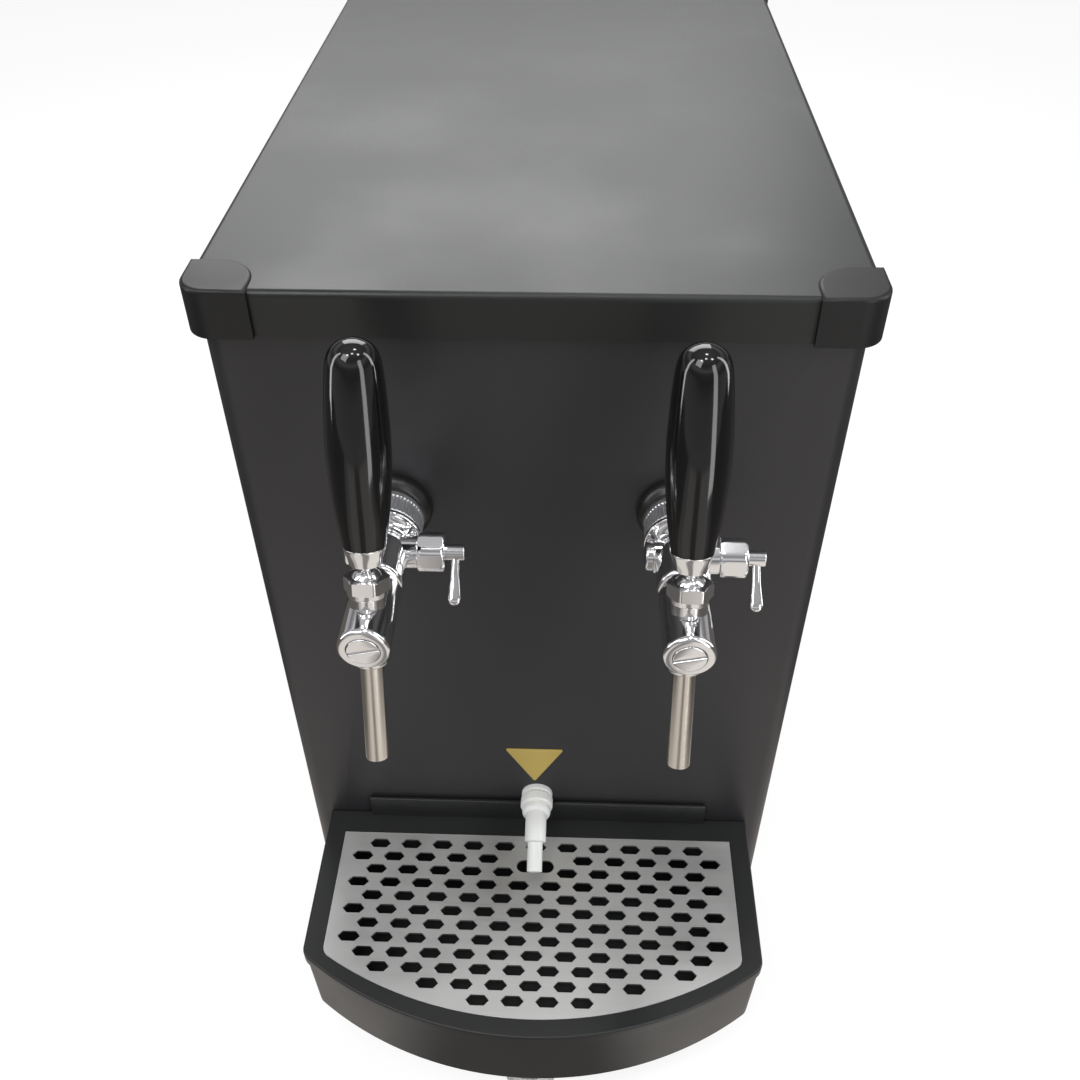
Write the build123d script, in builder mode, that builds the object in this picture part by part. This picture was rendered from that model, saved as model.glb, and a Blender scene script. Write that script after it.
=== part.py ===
from build123d import *
import os
from math import cos, radians, sin, sqrt, tan

# Two-tap water-bath beer cooler, in millimetres.
# X runs to the right, Y from the drinker towards the back, Z up.
# The origin lies on the worktop, under the middle of the whole machine.

# ---------------------------------------------------------------- cabinet
cabinet_width = 305.0
cabinet_depth = 480.0
sheet = 1.2
foot_height = 20.0
foot_radius = 15.0
foot_inset = 34.0
bend_radius = 10.0
panel_return = 22.0
top_flange = 12.0
pan_flange = 14.0
inlet_reach = 24.0

# ---------------------------------------------------------------- lid
lid_rise = 391.5
lid_overhang = 3.5
lid_skirt = 22.5
lid_edge_radius = 2.0
lid_corner_radius = 8.5
cap_length = 32.5
cap_depth = 31.0
cap_wall = 2.2
cap_top = 1.3
cap_drop = 0.6
cap_corner_radius = 14.0
cap_inner_radius = 8.0
cap_edge_radius = 2.0

# ---------------------------------------------------------------- drip tray and grid
tray_rim_z = 87.0
tray_height = 62.0
tray_side_inset = 14.1
tray_corner_reach = 103.0
tray_reach = 149.6
tray_corner_radius = 9.0
tray_gap = 0.8
tray_draft = 1.5
tray_wall = 3.0
tray_floor = 3.0
rim_width = 11.0
rim_lip = 1.0
rim_lip_height = 8.0
ledge_width = 5.0
upstand_inset = 27.4
upstand_height = 18.0
upstand_thickness = 2.7
upstand_notch = 18.0
upstand_notch_base = 0.5
grid_rear_gap = 17.0
grid_corner_setback = 0.7
grid_front_setback = 10.1
grid_corner_radius = 8.0
grid_thickness = 1.5
grid_clearance = 0.4
hole_width = 13.9
hole_height = 6.5
hole_flat = 8.2
hole_pitch = 20.5
row_pitch = 9.45
first_row = 25.0
hole_margin = 3.4
slot_length = 24.0
slot_width = 9.0
slot_reach = 39.3
tray_foot_radius = 15.5
tray_foot_setback = 17.0
shelf_thickness = 2.0
shelf_half_width = 90.0
shelf_reach = 92.0
shelf_tail = 60.0

# ---------------------------------------------------------------- drain nozzle
nozzle_rise = 25.0
nozzle_flange_radius = 10.0
nozzle_flange = 4.0
nozzle_stem_radius = 6.0
nozzle_cap_radius = 10.4
nozzle_cap_length = 14.5
nozzle_collar_radius = 9.1
nozzle_collar_start = 7.2
nozzle_tube_radius = 6.7
nozzle_tip_radius = 4.8
nozzle_bore = 3.2
nozzle_elbow_reach = 28.0
nozzle_tip_reach = 51.5
nozzle_tip_rise = 13.0
nozzle_step_share = 0.3
nozzle_bend = 7.0
nozzle_spigot = 9.0
nozzle_channel = 2.2

# ---------------------------------------------------------------- taps, seen along the shank axis
tap_spacing = 146.0
shank_rise = 268.5
shank_radius = 11.0
shank_bore = 4.0
shank_inside = 26.0
shank_front = 14.2
shank_stub_radius = 4.5
shank_stub_rise = 18.0
shank_stub_setback = 19.0
nut_across_flats = 32.0
nut_thickness = 8.0
fit = 0.05
thread_gap = 0.2
collar_radius = 21.0
collar_depth = 8.0
ring_radius = 17.5
ring_rear = 8.1
ring_front = 24.0
ring_lip = 4.0
tail_radius = 15.0
tail_neck_radius = 12.0
flange_radius = 18.0
flange_thickness = 2.5
flange_hollow = 5.0
body_radius = 13.0
body_waist_radius = 11.6
body_front = 58.0

# barrel, spool and plug
barrel_drop = 3.0
barrel_radius = 12.2
barrel_rear = 48.0
barrel_front = 99.6
barrel_edge_radius = 2.6
chamber_radius = 8.6
chamber_front = 66.0
spool_bore = 7.1
spool_radius = 7.03
plug_rear = 92.0
plug_radius = 7.9
plug_proud = 0.6
plug_slot = 1.3
spool_land = 4.0
spool_neck = 5.75
spool_front = 90.4
spool_half_flat = 3.8
spool_top_flat = 3.0
spool_groove = 6.6
spool_floor = 4.3

# head, spout and lever
head_reach = 79.8
head_tilt = 18.0
neck_radius = 8.4
neck_top = 12.0
pivot_height = 17.0
ball_radius = 7.8
ball_clearance = 0.08
bonnet_base = 11.2
bonnet_rim = 3.8
bonnet_across_flats = 19.0
bonnet_corner_radius = 10.7
bonnet_skirt_radius = 9.7
bonnet_skirt = 2.6
lever_range = 32.0
arm_radius = 2.0
arm_tip_radius = 3.0
arm_slot_width = 5.4
arm_slot_start = 6.0
ferrule_rise = 9.5
ferrule_length = 9.0
ferrule_bottom_radius = 7.4
ferrule_top_radius = 9.9
stud_radius = 3.4
stud_grip_radius = 3.4
stud_grip_length = 30.0
grip_length = 93.5
grip_radius = 14.3
grip_base_radius = 9.8
grip_shoulder_radius = 11.8
spout_radius = 5.5
spout_wall = 0.8
spout_length = 62.5
spout_socket_top = 14.0
spout_boss_radius = 8.2
spout_boss_bottom = 24.0
port_radius = 4.5

# flow regulator
flow_reach = 35.3
flow_boss_radius = 8.5
flow_boss_right = 18.0
flow_boss_left = 14.0
flow_range = 45.0
cone_bore_rear = 6.5
cone_bore_front = 8.2
cone_bore_length = 15.7
cone_gap = 0.65
cone_rear = 17.5
cone_front = 27.8
tongue_left = 3.2
tongue_right = 1.0
tongue_front = 41.0
tongue_half_height = 7.0
pin_radius = 1.2
pin_throw = 4.0
pin_gap = 0.4
spindle_radius = 4.0
spindle_inner_end = 1.5
spindle_outer_end = 40.5
gland_radius = 10.25
gland_length = 13.3
lever_arm_x = 36.0
lever_arm_length = 26.0
lever_arm_angle = 49.0
lever_arm_root = 4.3
lever_arm_tip = 6.5
lever_arm_thickness = 3.6
screw_head_radius = 7.5
screw_head_length = 3.9
screw_shank_radius = 3.4
screw_shank_length = 3.4
screw_socket = 5.0

# ---------------------------------------------------------------- water bath
front_space = 34.0
plant_depth = 182.0
insulation_wall = 22.0
insulation_floor = 30.0
bath_top_z = 400.0
tank_wall = 1.5
tank_lip = 12.0
tube_radius = 4.0
tube_bend = 12.0
coil_clearance = 0.1
coil_pitch = 42.0
evaporator_side_gap = 11.8
evaporator_end_gap = 18.5
coil_lead_gap = 14.0
product_near_x = 16.0
product_side_inset = 16.0
product_end_inset = 24.0
product_lead_z = 412.0
bracket_width = 34.0
bracket_thickness = 2.0
agitator_motor_radius = 23.0
agitator_motor_height = 52.0
agitator_shaft_radius = 3.0
agitator_bush_radius = 8.0
agitator_bottom_z = 150.0
impeller_radius = 12.0
impeller_height = 9.0
blade_thickness = 1.6

# ---------------------------------------------------------------- refrigeration
compressor_side_gap = 80.5
compressor_radius = 58.0
compressor_height = 146.0
compressor_waist = 84.0
compressor_rear_gap = 88.0
compressor_foot = 12.0
stub_radius = 5.0
stub_height = 10.0
condenser_side_gap = 12.5
condenser_clearance = 173.0
condenser_height = 132.0
condenser_thickness = 34.0
condenser_plate = 3.0
fin_count = 12
fin_thickness = 1.4
shroud_thickness = 14.0
shroud_wall = 2.0
fan_margin = 11.0
fan_gap = 3.0
fan_hub_radius = 18.0
fan_blade_count = 5
fan_blade_thickness = 1.6
fan_blade_pitch = 28.0
fan_motor_radius = 24.0
fan_motor_length = 38.0
fan_shaft_radius = 3.0
strut_width = 8.0

# ---------------------------------------------------------------- back panel fittings
vent_slots = 9
vent_end_margin = 6.0
vent_slot_width = 5.0
vent_slot_pitch = 12.0
side_vent_slots = 8
side_vent_length = 46.0
socket_inset = 48.5
socket_z = 232.0
switch_spacing = 52.0
switch_z = 232.0
thermostat_z = 312.0
thermostat_dial_radius = 19.0
thermostat_box = 46.0
thermostat_depth = 26.0
inlet_radius = 8.0
inlet_bore = 4.05
inlet_collar_radius = 10.0
panel_screw_radius = 4.0
panel_screw_height = 2.0
panel_screw_shank = 1.9
panel_screw_inset = 14.0

# ---------------------------------------------------------------- derived places
overall_depth = tray_reach + rim_lip + cabinet_depth + inlet_reach
front_y = -overall_depth / 2 + tray_reach + rim_lip
rear_y = front_y + cabinet_depth
middle_y = (front_y + rear_y) / 2
inner_half = cabinet_width / 2 - sheet
tray_half_width = cabinet_width / 2 - tray_side_inset
upstand_half_width = tray_half_width - upstand_inset
grid_half_width = tray_half_width - rim_width - grid_clearance
grid_corner_reach = tray_corner_reach - grid_corner_setback
grid_reach = tray_reach - grid_front_setback
base_z = foot_height
floor_z = base_z + sheet
lid_top_z = tray_rim_z + lid_rise
panel_top_z = lid_top_z - sheet
panel_height = panel_top_z - base_z
shank_z = tray_rim_z + shank_rise
nozzle_z = tray_rim_z + nozzle_rise
tray_base_z = tray_rim_z - tray_height
insulation_depth = cabinet_depth - front_space - plant_depth
insulation_front_y = front_y + front_space
insulation_rear_y = insulation_front_y + insulation_depth
bath_y = (insulation_front_y + insulation_rear_y) / 2
cavity_half_x = inner_half - insulation_wall
cavity_half_y = insulation_depth / 2 - insulation_wall
cavity_floor_z = floor_z + insulation_floor
tank_floor_z = cavity_floor_z + tank_wall
bracket_top_z = bath_top_z + tank_wall + bracket_thickness
evaporator_half_x = cavity_half_x - tank_wall - tube_radius - evaporator_side_gap
evaporator_half_y = cavity_half_y - tank_wall - tube_radius - evaporator_end_gap
product_far_x = evaporator_half_x - product_side_inset
product_half_y = evaporator_half_y - product_end_inset
compressor_x = compressor_side_gap - cabinet_width / 2
condenser_width = cabinet_width - condenser_clearance
condenser_x = (cabinet_width - condenser_width) / 2 - condenser_side_gap
fan_radius = min(condenser_width, condenser_height) / 2 - fan_margin
vent_slot_length = condenser_width - 2 * vent_end_margin
socket_x = socket_inset - cabinet_width / 2
switch_x = socket_x + switch_spacing
thermostat_x = (socket_x + switch_x) / 2

# spool travel that goes with the lever: its tip swings evenly about straight down
barrel_below_pivot = pivot_height * cos(radians(head_tilt)) + barrel_drop
half_swing = lever_range / 2
arm_length = barrel_below_pivot / cos(radians(half_swing))
pivot_reach = head_reach - pivot_height * sin(radians(head_tilt))
tip_reach = pivot_reach + barrel_below_pivot * tan(radians(half_swing))
spool_travel = 2 * arm_length * sin(radians(half_swing))
print("spool travel", round(spool_travel, 4), "mm for", lever_range, "degrees")
print("pivot", round(front_y - pivot_reach, 4),
      round(shank_z + pivot_height * cos(radians(head_tilt)), 4))
print("front face", front_y, "rear face", rear_y)


def keep(piece, node):
    """Label a finished piece and write its STEP file."""
    piece.part.label = node
    export_step(piece.part, f"parts/{node}.step")


def facing_front(y):
    """Plane across the machine at depth y: X to the right, Z up, normal towards the drinker."""
    return Plane.XZ.offset(-y)


def facing_right(x):
    """Plane along the machine at width x: Y to the back, Z up, normal to the right."""
    return Plane.YZ.offset(x)


# ================================================================ cabinet shell
pan_width = cabinet_width - 2 * sheet
pan_depth = cabinet_depth - 2 * sheet

with BuildPart() as base_pan:
    with BuildSketch(Plane.XY.offset(base_z)) as pan_plan:
        with Locations((0, middle_y)):
            Rectangle(pan_width, pan_depth)
        fillet(pan_plan.vertices().group_by(Axis.Y)[0], bend_radius - sheet)
    extrude(amount=pan_flange)
    with BuildSketch(Plane.XY.offset(floor_z)) as pan_inside:
        with Locations((0, middle_y)):
            Rectangle(pan_width - 2 * sheet, pan_depth - 2 * sheet)
        fillet(pan_inside.vertices().group_by(Axis.Y)[0], bend_radius - 2 * sheet)
    extrude(amount=pan_flange, mode=Mode.SUBTRACT)
    with BuildSketch(Plane.XY.offset(base_z)):
        with Locations((0, (insulation_rear_y + rear_y) / 2)):
            with GridLocations(0, vent_slot_pitch, 1, vent_slots // 2):
                SlotOverall(vent_slot_length, vent_slot_width)
    extrude(amount=sheet, mode=Mode.SUBTRACT)
keep(base_pan, "base_pan")

foot_spread_x = cabinet_width - 2 * foot_inset
foot_spread_y = cabinet_depth - 2 * foot_inset
with BuildPart() as rubber_feet:
    with BuildSketch(Plane.XY.offset(base_z)):
        with Locations((0, middle_y)):
            with GridLocations(foot_spread_x, foot_spread_y, 2, 2):
                Circle(foot_radius)
    extrude(amount=-foot_height, taper=6)
keep(rubber_feet, "rubber_feet")

with BuildPart() as front_panel:
    with BuildSketch(Plane.XY.offset(base_z)) as outer_bend:
        with Locations((0, front_y + panel_return / 2)):
            Rectangle(cabinet_width, panel_return)
        fillet(outer_bend.vertices().group_by(Axis.Y)[0], bend_radius)
    extrude(amount=panel_height)
    with BuildSketch(Plane.XY.offset(base_z)) as inner_bend:
        with Locations((0, front_y + sheet + panel_return / 2)):
            Rectangle(cabinet_width - 2 * sheet, panel_return)
        fillet(inner_bend.vertices().group_by(Axis.Y)[0], bend_radius - sheet)
    extrude(amount=panel_height, mode=Mode.SUBTRACT)
    with BuildSketch(Plane.XY.offset(panel_top_z - sheet)):
        with Locations((0, front_y + (sheet + top_flange) / 2)):
            Rectangle(cabinet_width - 2 * bend_radius, top_flange + sheet)
    extrude(amount=sheet)
    with BuildSketch(facing_front(front_y)):
        with Locations((-tap_spacing / 2, shank_z), (tap_spacing / 2, shank_z)):
            Circle(shank_radius + thread_gap)
        with Locations((0, nozzle_z)):
            Circle(nozzle_stem_radius + thread_gap)
    extrude(amount=-2 * sheet, mode=Mode.SUBTRACT)
keep(front_panel, "front_panel")

side_length = cabinet_depth - panel_return
vent_middle_y = (insulation_rear_y + rear_y) / 2
for side, sign in (("left", -1), ("right", 1)):
    with BuildPart() as side_panel:
        with BuildSketch(facing_front(front_y + panel_return)):
            with Locations((sign * (cabinet_width - sheet) / 2, base_z + panel_height / 2)):
                Rectangle(sheet, panel_height)
            with Locations((sign * (cabinet_width - top_flange) / 2, panel_top_z - sheet / 2)):
                Rectangle(top_flange, sheet)
        extrude(amount=-side_length)
        with BuildSketch(facing_right(sign * cabinet_width / 2)):
            with Locations((vent_middle_y, base_z + compressor_height / 2 + pan_flange)):
                with GridLocations(0, vent_slot_pitch, 1, side_vent_slots):
                    SlotOverall(side_vent_length, vent_slot_width)
        extrude(amount=2 * sheet, both=True, mode=Mode.SUBTRACT)
    keep(side_panel, f"side_panel_{side}")

condenser_z = floor_z + condenser_height / 2
socket_width, socket_height = 48.0, 24.0
switch_width, switch_height = 28.0, 20.0
inlet_x = (product_near_x + product_far_x) / 2
rear_top_gap = top_flange / 2
with BuildPart() as rear_panel:
    with BuildSketch(facing_front(rear_y - sheet)):
        with Locations((0, base_z + (panel_height - sheet) / 2)):
            Rectangle(pan_width, panel_height - sheet)
        with Locations((condenser_x, condenser_z)):
            with GridLocations(0, vent_slot_pitch, 1, vent_slots):
                SlotOverall(vent_slot_length, vent_slot_width, mode=Mode.SUBTRACT)
        with Locations((socket_x, socket_z)):
            Rectangle(socket_width - 16, socket_height, mode=Mode.SUBTRACT)
        with Locations((switch_x, switch_z)):
            Rectangle(switch_width - 4, switch_height - 4, mode=Mode.SUBTRACT)
        with Locations((thermostat_x, thermostat_z)):
            Circle(5.0, mode=Mode.SUBTRACT)
        with Locations((-inlet_x, product_lead_z), (inlet_x, product_lead_z)):
            Circle(inlet_radius + thread_gap, mode=Mode.SUBTRACT)
    extrude(amount=-sheet)
keep(rear_panel, "rear_panel")

screw_columns = cabinet_depth - panel_return - 2 * panel_screw_inset
screw_middle_y = front_y + panel_return + side_length / 2
with BuildPart() as panel_screws:
    for sign in (-1, 1):
        with BuildSketch(facing_right(sign * cabinet_width / 2)):
            with Locations((screw_middle_y, base_z + pan_flange / 2 + sheet / 2)):
                with GridLocations(screw_columns / 2, 0, 3, 1):
                    Circle(panel_screw_radius)
        extrude(amount=sign * panel_screw_height, taper=20)
keep(panel_screws, "panel_screws")

# ================================================================ lid
lid_width = cabinet_width + 2 * lid_overhang
lid_length = cabinet_depth + 2 * lid_overhang
with BuildPart() as lid_cover:
    with BuildSketch(Plane.XY.offset(lid_top_z)) as lid_plan:
        with Locations((0, middle_y)):
            RectangleRounded(lid_width, lid_length, lid_corner_radius)
    extrude(amount=-lid_skirt)
    fillet(lid_cover.faces().sort_by(Axis.Z)[-1].edges(), lid_edge_radius)
    with BuildSketch(Plane.XY.offset(lid_top_z - sheet)):
        with Locations((0, middle_y)):
            RectangleRounded(lid_width - 2 * sheet, lid_length - 2 * sheet,
                             lid_corner_radius - sheet)
    extrude(amount=-lid_skirt, mode=Mode.SUBTRACT)
keep(lid_cover, "lid_cover")

cap_half_x = lid_width / 2 + cap_wall
cap_front_y = middle_y - lid_length / 2 - cap_wall
with BuildPart() as corner_caps:
    with BuildSketch(Plane.XY.offset(lid_top_z - lid_skirt - cap_drop)) as cap_plan:
        with Locations((cap_half_x - cap_length / 2, cap_front_y + cap_depth / 2)):
            Rectangle(cap_length, cap_depth)
        corners = cap_plan.vertices()
        fillet(corners.sort_by(lambda v: v.X - v.Y)[-1], cap_corner_radius)
        fillet(cap_plan.vertices().sort_by(lambda v: v.X - v.Y)[0], cap_inner_radius)
    extrude(amount=lid_skirt + cap_drop + cap_top)
    fillet(corner_caps.faces().sort_by(Axis.Z)[-1].edges(), cap_edge_radius)
    with BuildSketch(Plane.XY.offset(lid_top_z)):
        with Locations((0, middle_y)):
            RectangleRounded(lid_width, lid_length, lid_corner_radius)
    extrude(amount=-lid_skirt - cap_drop, mode=Mode.SUBTRACT)
    mirror(about=Plane.YZ)
    mirror(about=facing_front(middle_y))
keep(corner_caps, "corner_caps")


# ================================================================ drip tray
def bowed_plate(z, half_width, rear, corner, front, corner_radius):
    """Outline with straight back and sides and a bowed front; the reaches are measured from the panel."""
    with BuildSketch(Plane.XY.offset(z)) as plate:
        with BuildLine():
            Polyline(
                (-half_width, front_y - corner), (-half_width, front_y - rear),
                (half_width, front_y - rear), (half_width, front_y - corner),
            )
            ThreePointArc((half_width, front_y - corner), (0, front_y - front),
                          (-half_width, front_y - corner))
        make_face()
        fillet(plate.vertices().group_by(Axis.Y)[0], corner_radius)
    return plate.sketch


recess_z = tray_rim_z - grid_thickness
basin_inset = rim_width + grid_clearance + ledge_width
basin_base_z = tray_base_z + tray_floor
with BuildPart() as drip_tray:
    wall_plan = bowed_plate(tray_rim_z, tray_half_width, tray_gap, tray_corner_reach, tray_reach,
                            tray_corner_radius)
    extrude(wall_plan, amount=-tray_height, taper=tray_draft)
    lip_plan = bowed_plate(tray_rim_z, tray_half_width + rim_lip, tray_gap,
                           tray_corner_reach + rim_lip / 2, tray_reach + rim_lip,
                           tray_corner_radius + rim_lip)
    extrude(lip_plan, amount=-rim_lip_height)
    fillet(drip_tray.faces().sort_by(Axis.Z)[-1].edges().sort_by(Axis.Y)[:-1], rim_lip)
    recess_plan = bowed_plate(tray_rim_z, grid_half_width + grid_clearance, grid_rear_gap - grid_clearance,
                              grid_corner_reach, grid_reach + grid_clearance, grid_corner_radius)
    extrude(recess_plan, amount=-grid_thickness, mode=Mode.SUBTRACT)
    basin_plan = bowed_plate(recess_z, tray_half_width - basin_inset, grid_rear_gap + ledge_width,
                             grid_corner_reach - ledge_width / 2, grid_reach - ledge_width,
                             grid_corner_radius)
    extrude(basin_plan, amount=basin_base_z - recess_z, taper=tray_draft, mode=Mode.SUBTRACT)
    with BuildSketch(facing_front(front_y - tray_gap)):
        with Locations((0, tray_rim_z + (upstand_height - tray_wall) / 2)):
            Rectangle(2 * upstand_half_width, upstand_height + tray_wall)
        with Locations((0, tray_rim_z + upstand_notch_base + upstand_height / 2)):
            Rectangle(upstand_notch, upstand_height, mode=Mode.SUBTRACT)
    extrude(amount=upstand_thickness)
keep(drip_tray, "drip_tray")

with BuildPart() as tray_foot:
    with BuildSketch(Plane.XY):
        with Locations((0, front_y - tray_reach + tray_foot_setback)):
            Circle(tray_foot_radius)
    extrude(amount=tray_base_z)
    chamfer(tray_foot.edges().filter_by(GeomType.CIRCLE).sort_by(Axis.Z)[0], rim_lip)
keep(tray_foot, "tray_foot")


def hole_positions():
    """Centres of the grid's holes: staggered rows, kept where a whole hole fits inside the margin."""
    bow = grid_reach - grid_corner_reach
    arc_radius = (grid_half_width**2 + bow**2) / (2 * bow)
    arc_centre = grid_reach - arc_radius
    places = []
    rows = int((grid_reach - first_row - hole_margin) / row_pitch) + 1
    for row in range(rows):
        reach = first_row + row * row_pitch
        far_edge = reach + hole_height / 2 - arc_centre
        inside = (arc_radius - hole_margin) ** 2 - far_edge**2
        limit = min(grid_half_width - hole_margin, sqrt(max(inside, 0)))
        stagger = 0.5 * (row % 2)
        column = stagger
        while column * hole_pitch + hole_width / 2 <= limit:
            x = column * hole_pitch
            near_slot = (x < (slot_length + hole_width) / 2
                         and abs(reach - slot_reach) < (slot_width + hole_height) / 2)
            if not near_slot:
                places += [(x, front_y - reach)] if x == 0 else [(x, front_y - reach), (-x, front_y - reach)]
            column += 1
    return places


with BuildPart() as drip_grid:
    with BuildSketch(Plane.XY.offset(tray_rim_z)):
        add(bowed_plate(0, grid_half_width, grid_rear_gap, grid_corner_reach, grid_reach, grid_corner_radius))
        with Locations(*hole_positions()):
            Polygon(
                (-hole_width / 2, 0), (-hole_flat / 2, -hole_height / 2), (hole_flat / 2, -hole_height / 2),
                (hole_width / 2, 0), (hole_flat / 2, hole_height / 2), (-hole_flat / 2, hole_height / 2),
                mode=Mode.SUBTRACT,
            )
        with Locations((0, front_y - slot_reach)):
            SlotOverall(slot_length, slot_width, mode=Mode.SUBTRACT)
    extrude(amount=-grid_thickness)
keep(drip_grid, "drip_grid")

with BuildPart() as tray_shelf:
    with BuildSketch(facing_right(-shelf_half_width)):
        with BuildLine():
            Polyline(
                (front_y + shelf_tail, base_z), (front_y - shelf_thickness, base_z),
                (front_y - shelf_thickness, tray_base_z), (front_y - shelf_reach, tray_base_z),
                (front_y - shelf_reach, tray_base_z - shelf_thickness),
                (front_y - 2 * shelf_thickness, tray_base_z - shelf_thickness),
                (front_y - 2 * shelf_thickness, base_z - shelf_thickness),
                (front_y + shelf_tail, base_z - shelf_thickness), close=True,
            )
        make_face()
    extrude(amount=2 * shelf_half_width)
keep(tray_shelf, "tray_shelf")

# ================================================================ drain nozzle
nozzle_axis = Axis((0, front_y, nozzle_z), (0, -1, 0))
nozzle_section = Plane(origin=(0, front_y, nozzle_z), x_dir=(0, -1, 0), z_dir=(-1, 0, 0))
tank_front = front_space + insulation_wall
with BuildPart() as nozzle_bulkhead:
    with BuildSketch(nozzle_section):
        with BuildLine():
            Polyline(
                (-tank_front - tank_wall, nozzle_bore), (-tank_front - tank_wall, nozzle_stem_radius),
                (0, nozzle_stem_radius), (0, nozzle_flange_radius),
                (nozzle_flange - 1, nozzle_flange_radius), (nozzle_flange, nozzle_flange_radius - 1),
                (nozzle_flange, nozzle_bore), close=True,
            )
        make_face()
    revolve(axis=nozzle_axis)
keep(nozzle_bulkhead, "nozzle_bulkhead")

cap_end = nozzle_flange + nozzle_cap_length
collar_start = nozzle_flange + nozzle_collar_start
nozzle_elbow = Vector(0, front_y - nozzle_elbow_reach, nozzle_z)
nozzle_tip = Vector(0, front_y - nozzle_tip_reach, tray_rim_z + nozzle_tip_rise)
nozzle_mouth = Plane(origin=nozzle_tip, x_dir=(1, 0, 0), z_dir=nozzle_tip - nozzle_elbow)
nozzle_mouth_depth = (nozzle_tip - nozzle_elbow).length
with BuildPart() as drain_nozzle:
    with BuildSketch(nozzle_section):
        with BuildLine():
            Polyline(
                (nozzle_flange - nozzle_spigot, 0), (nozzle_flange - nozzle_spigot, nozzle_bore - fit),
                (nozzle_flange, nozzle_bore - fit), (nozzle_flange, nozzle_collar_radius),
                (nozzle_flange + 1.5, nozzle_cap_radius), (collar_start, nozzle_cap_radius),
                (collar_start + 0.8, nozzle_collar_radius), (cap_end - 2.5, nozzle_collar_radius),
                (cap_end, nozzle_collar_radius - 1.5), (cap_end, 0), close=True,
            )
        make_face()
    revolve(axis=nozzle_axis)
    for radius, share in ((nozzle_tip_radius, 1.0), (nozzle_tube_radius, nozzle_step_share)):
        with BuildLine() as elbow:
            FilletPolyline(
                (0, front_y - cap_end + 1, nozzle_z), nozzle_elbow,
                nozzle_elbow + (nozzle_tip - nozzle_elbow) * share,
                radius=nozzle_bend,
            )
        with BuildSketch(facing_front(front_y - cap_end + 1)) as tube_end:
            with Locations((0, nozzle_z)):
                Circle(radius)
        sweep(tube_end.sketch, path=elbow.line)
    with BuildSketch(nozzle_mouth):
        Circle(nozzle_channel)
    extrude(amount=-nozzle_mouth_depth, mode=Mode.SUBTRACT)
    with BuildSketch(facing_front(front_y + nozzle_spigot - nozzle_flange)):
        with Locations((0, nozzle_z)):
            Circle(nozzle_channel)
    extrude(amount=nozzle_spigot - nozzle_flange + nozzle_elbow_reach, mode=Mode.SUBTRACT)
keep(drain_nozzle, "drain_nozzle")


# ================================================================ taps
class TapFrame:
    """Planes and axes of one tap, which stands on the front panel at width x."""

    def __init__(self, x):
        self.x = x
        self.tilt = radians(head_tilt)
        self.shank = Plane(origin=(x, front_y, shank_z), x_dir=(1, 0, 0), z_dir=(0, -1, 0))
        self.section = Plane(origin=(x, front_y, shank_z), x_dir=(0, -1, 0), z_dir=(-1, 0, 0))
        self.shank_axis = Axis((x, front_y, shank_z), (0, -1, 0))
        self.barrel = Plane(origin=(x, front_y, shank_z - barrel_drop), x_dir=(1, 0, 0), z_dir=(0, -1, 0))
        self.barrel_section = Plane(
            origin=(x, front_y, shank_z - barrel_drop), x_dir=(0, -1, 0), z_dir=(-1, 0, 0))
        self.barrel_axis = Axis((x, front_y, shank_z - barrel_drop), (0, -1, 0))
        head_origin = (x, front_y - head_reach, shank_z)
        up = (0, sin(self.tilt), cos(self.tilt))
        self.head = Plane(origin=head_origin, x_dir=(1, 0, 0), z_dir=up)
        self.head_section = Plane(origin=head_origin, x_dir=(1, 0, 0), z_dir=(0, -cos(self.tilt), sin(self.tilt)))
        self.head_axis = Axis(head_origin, up)
        self.pivot = (x, front_y - pivot_reach, shank_z + pivot_height * cos(self.tilt))
        self.cross = Plane(origin=(x, front_y - flow_reach, shank_z), x_dir=(0, 1, 0), z_dir=(1, 0, 0))


def turned(section, axis, points, mode=Mode.ADD):
    """Revolve a closed profile of points about the axis, into the part in hand."""
    with BuildSketch(section) as profile:
        with BuildLine():
            Polyline(*points, close=True)
        make_face()
    revolve(profile.sketch, axis=axis, mode=mode)


def make_coupling_ring(tap, side):
    """Ring nut that pulls the tap's tail against the shank."""
    bore = shank_radius + thread_gap
    room = tail_radius + thread_gap
    mouth = tail_neck_radius + thread_gap
    with BuildPart() as ring:
        turned(tap.section, tap.shank_axis, [
            (ring_rear, bore), (ring_rear, ring_radius - 1), (ring_rear + 1, ring_radius),
            (ring_front - 1, ring_radius), (ring_front, ring_radius - 1), (ring_front, mouth),
            (ring_front - ring_lip, mouth), (ring_front - ring_lip, room),
            (shank_front, room), (shank_front, bore),
        ])
    keep(ring, f"coupling_ring_{side}")


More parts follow.
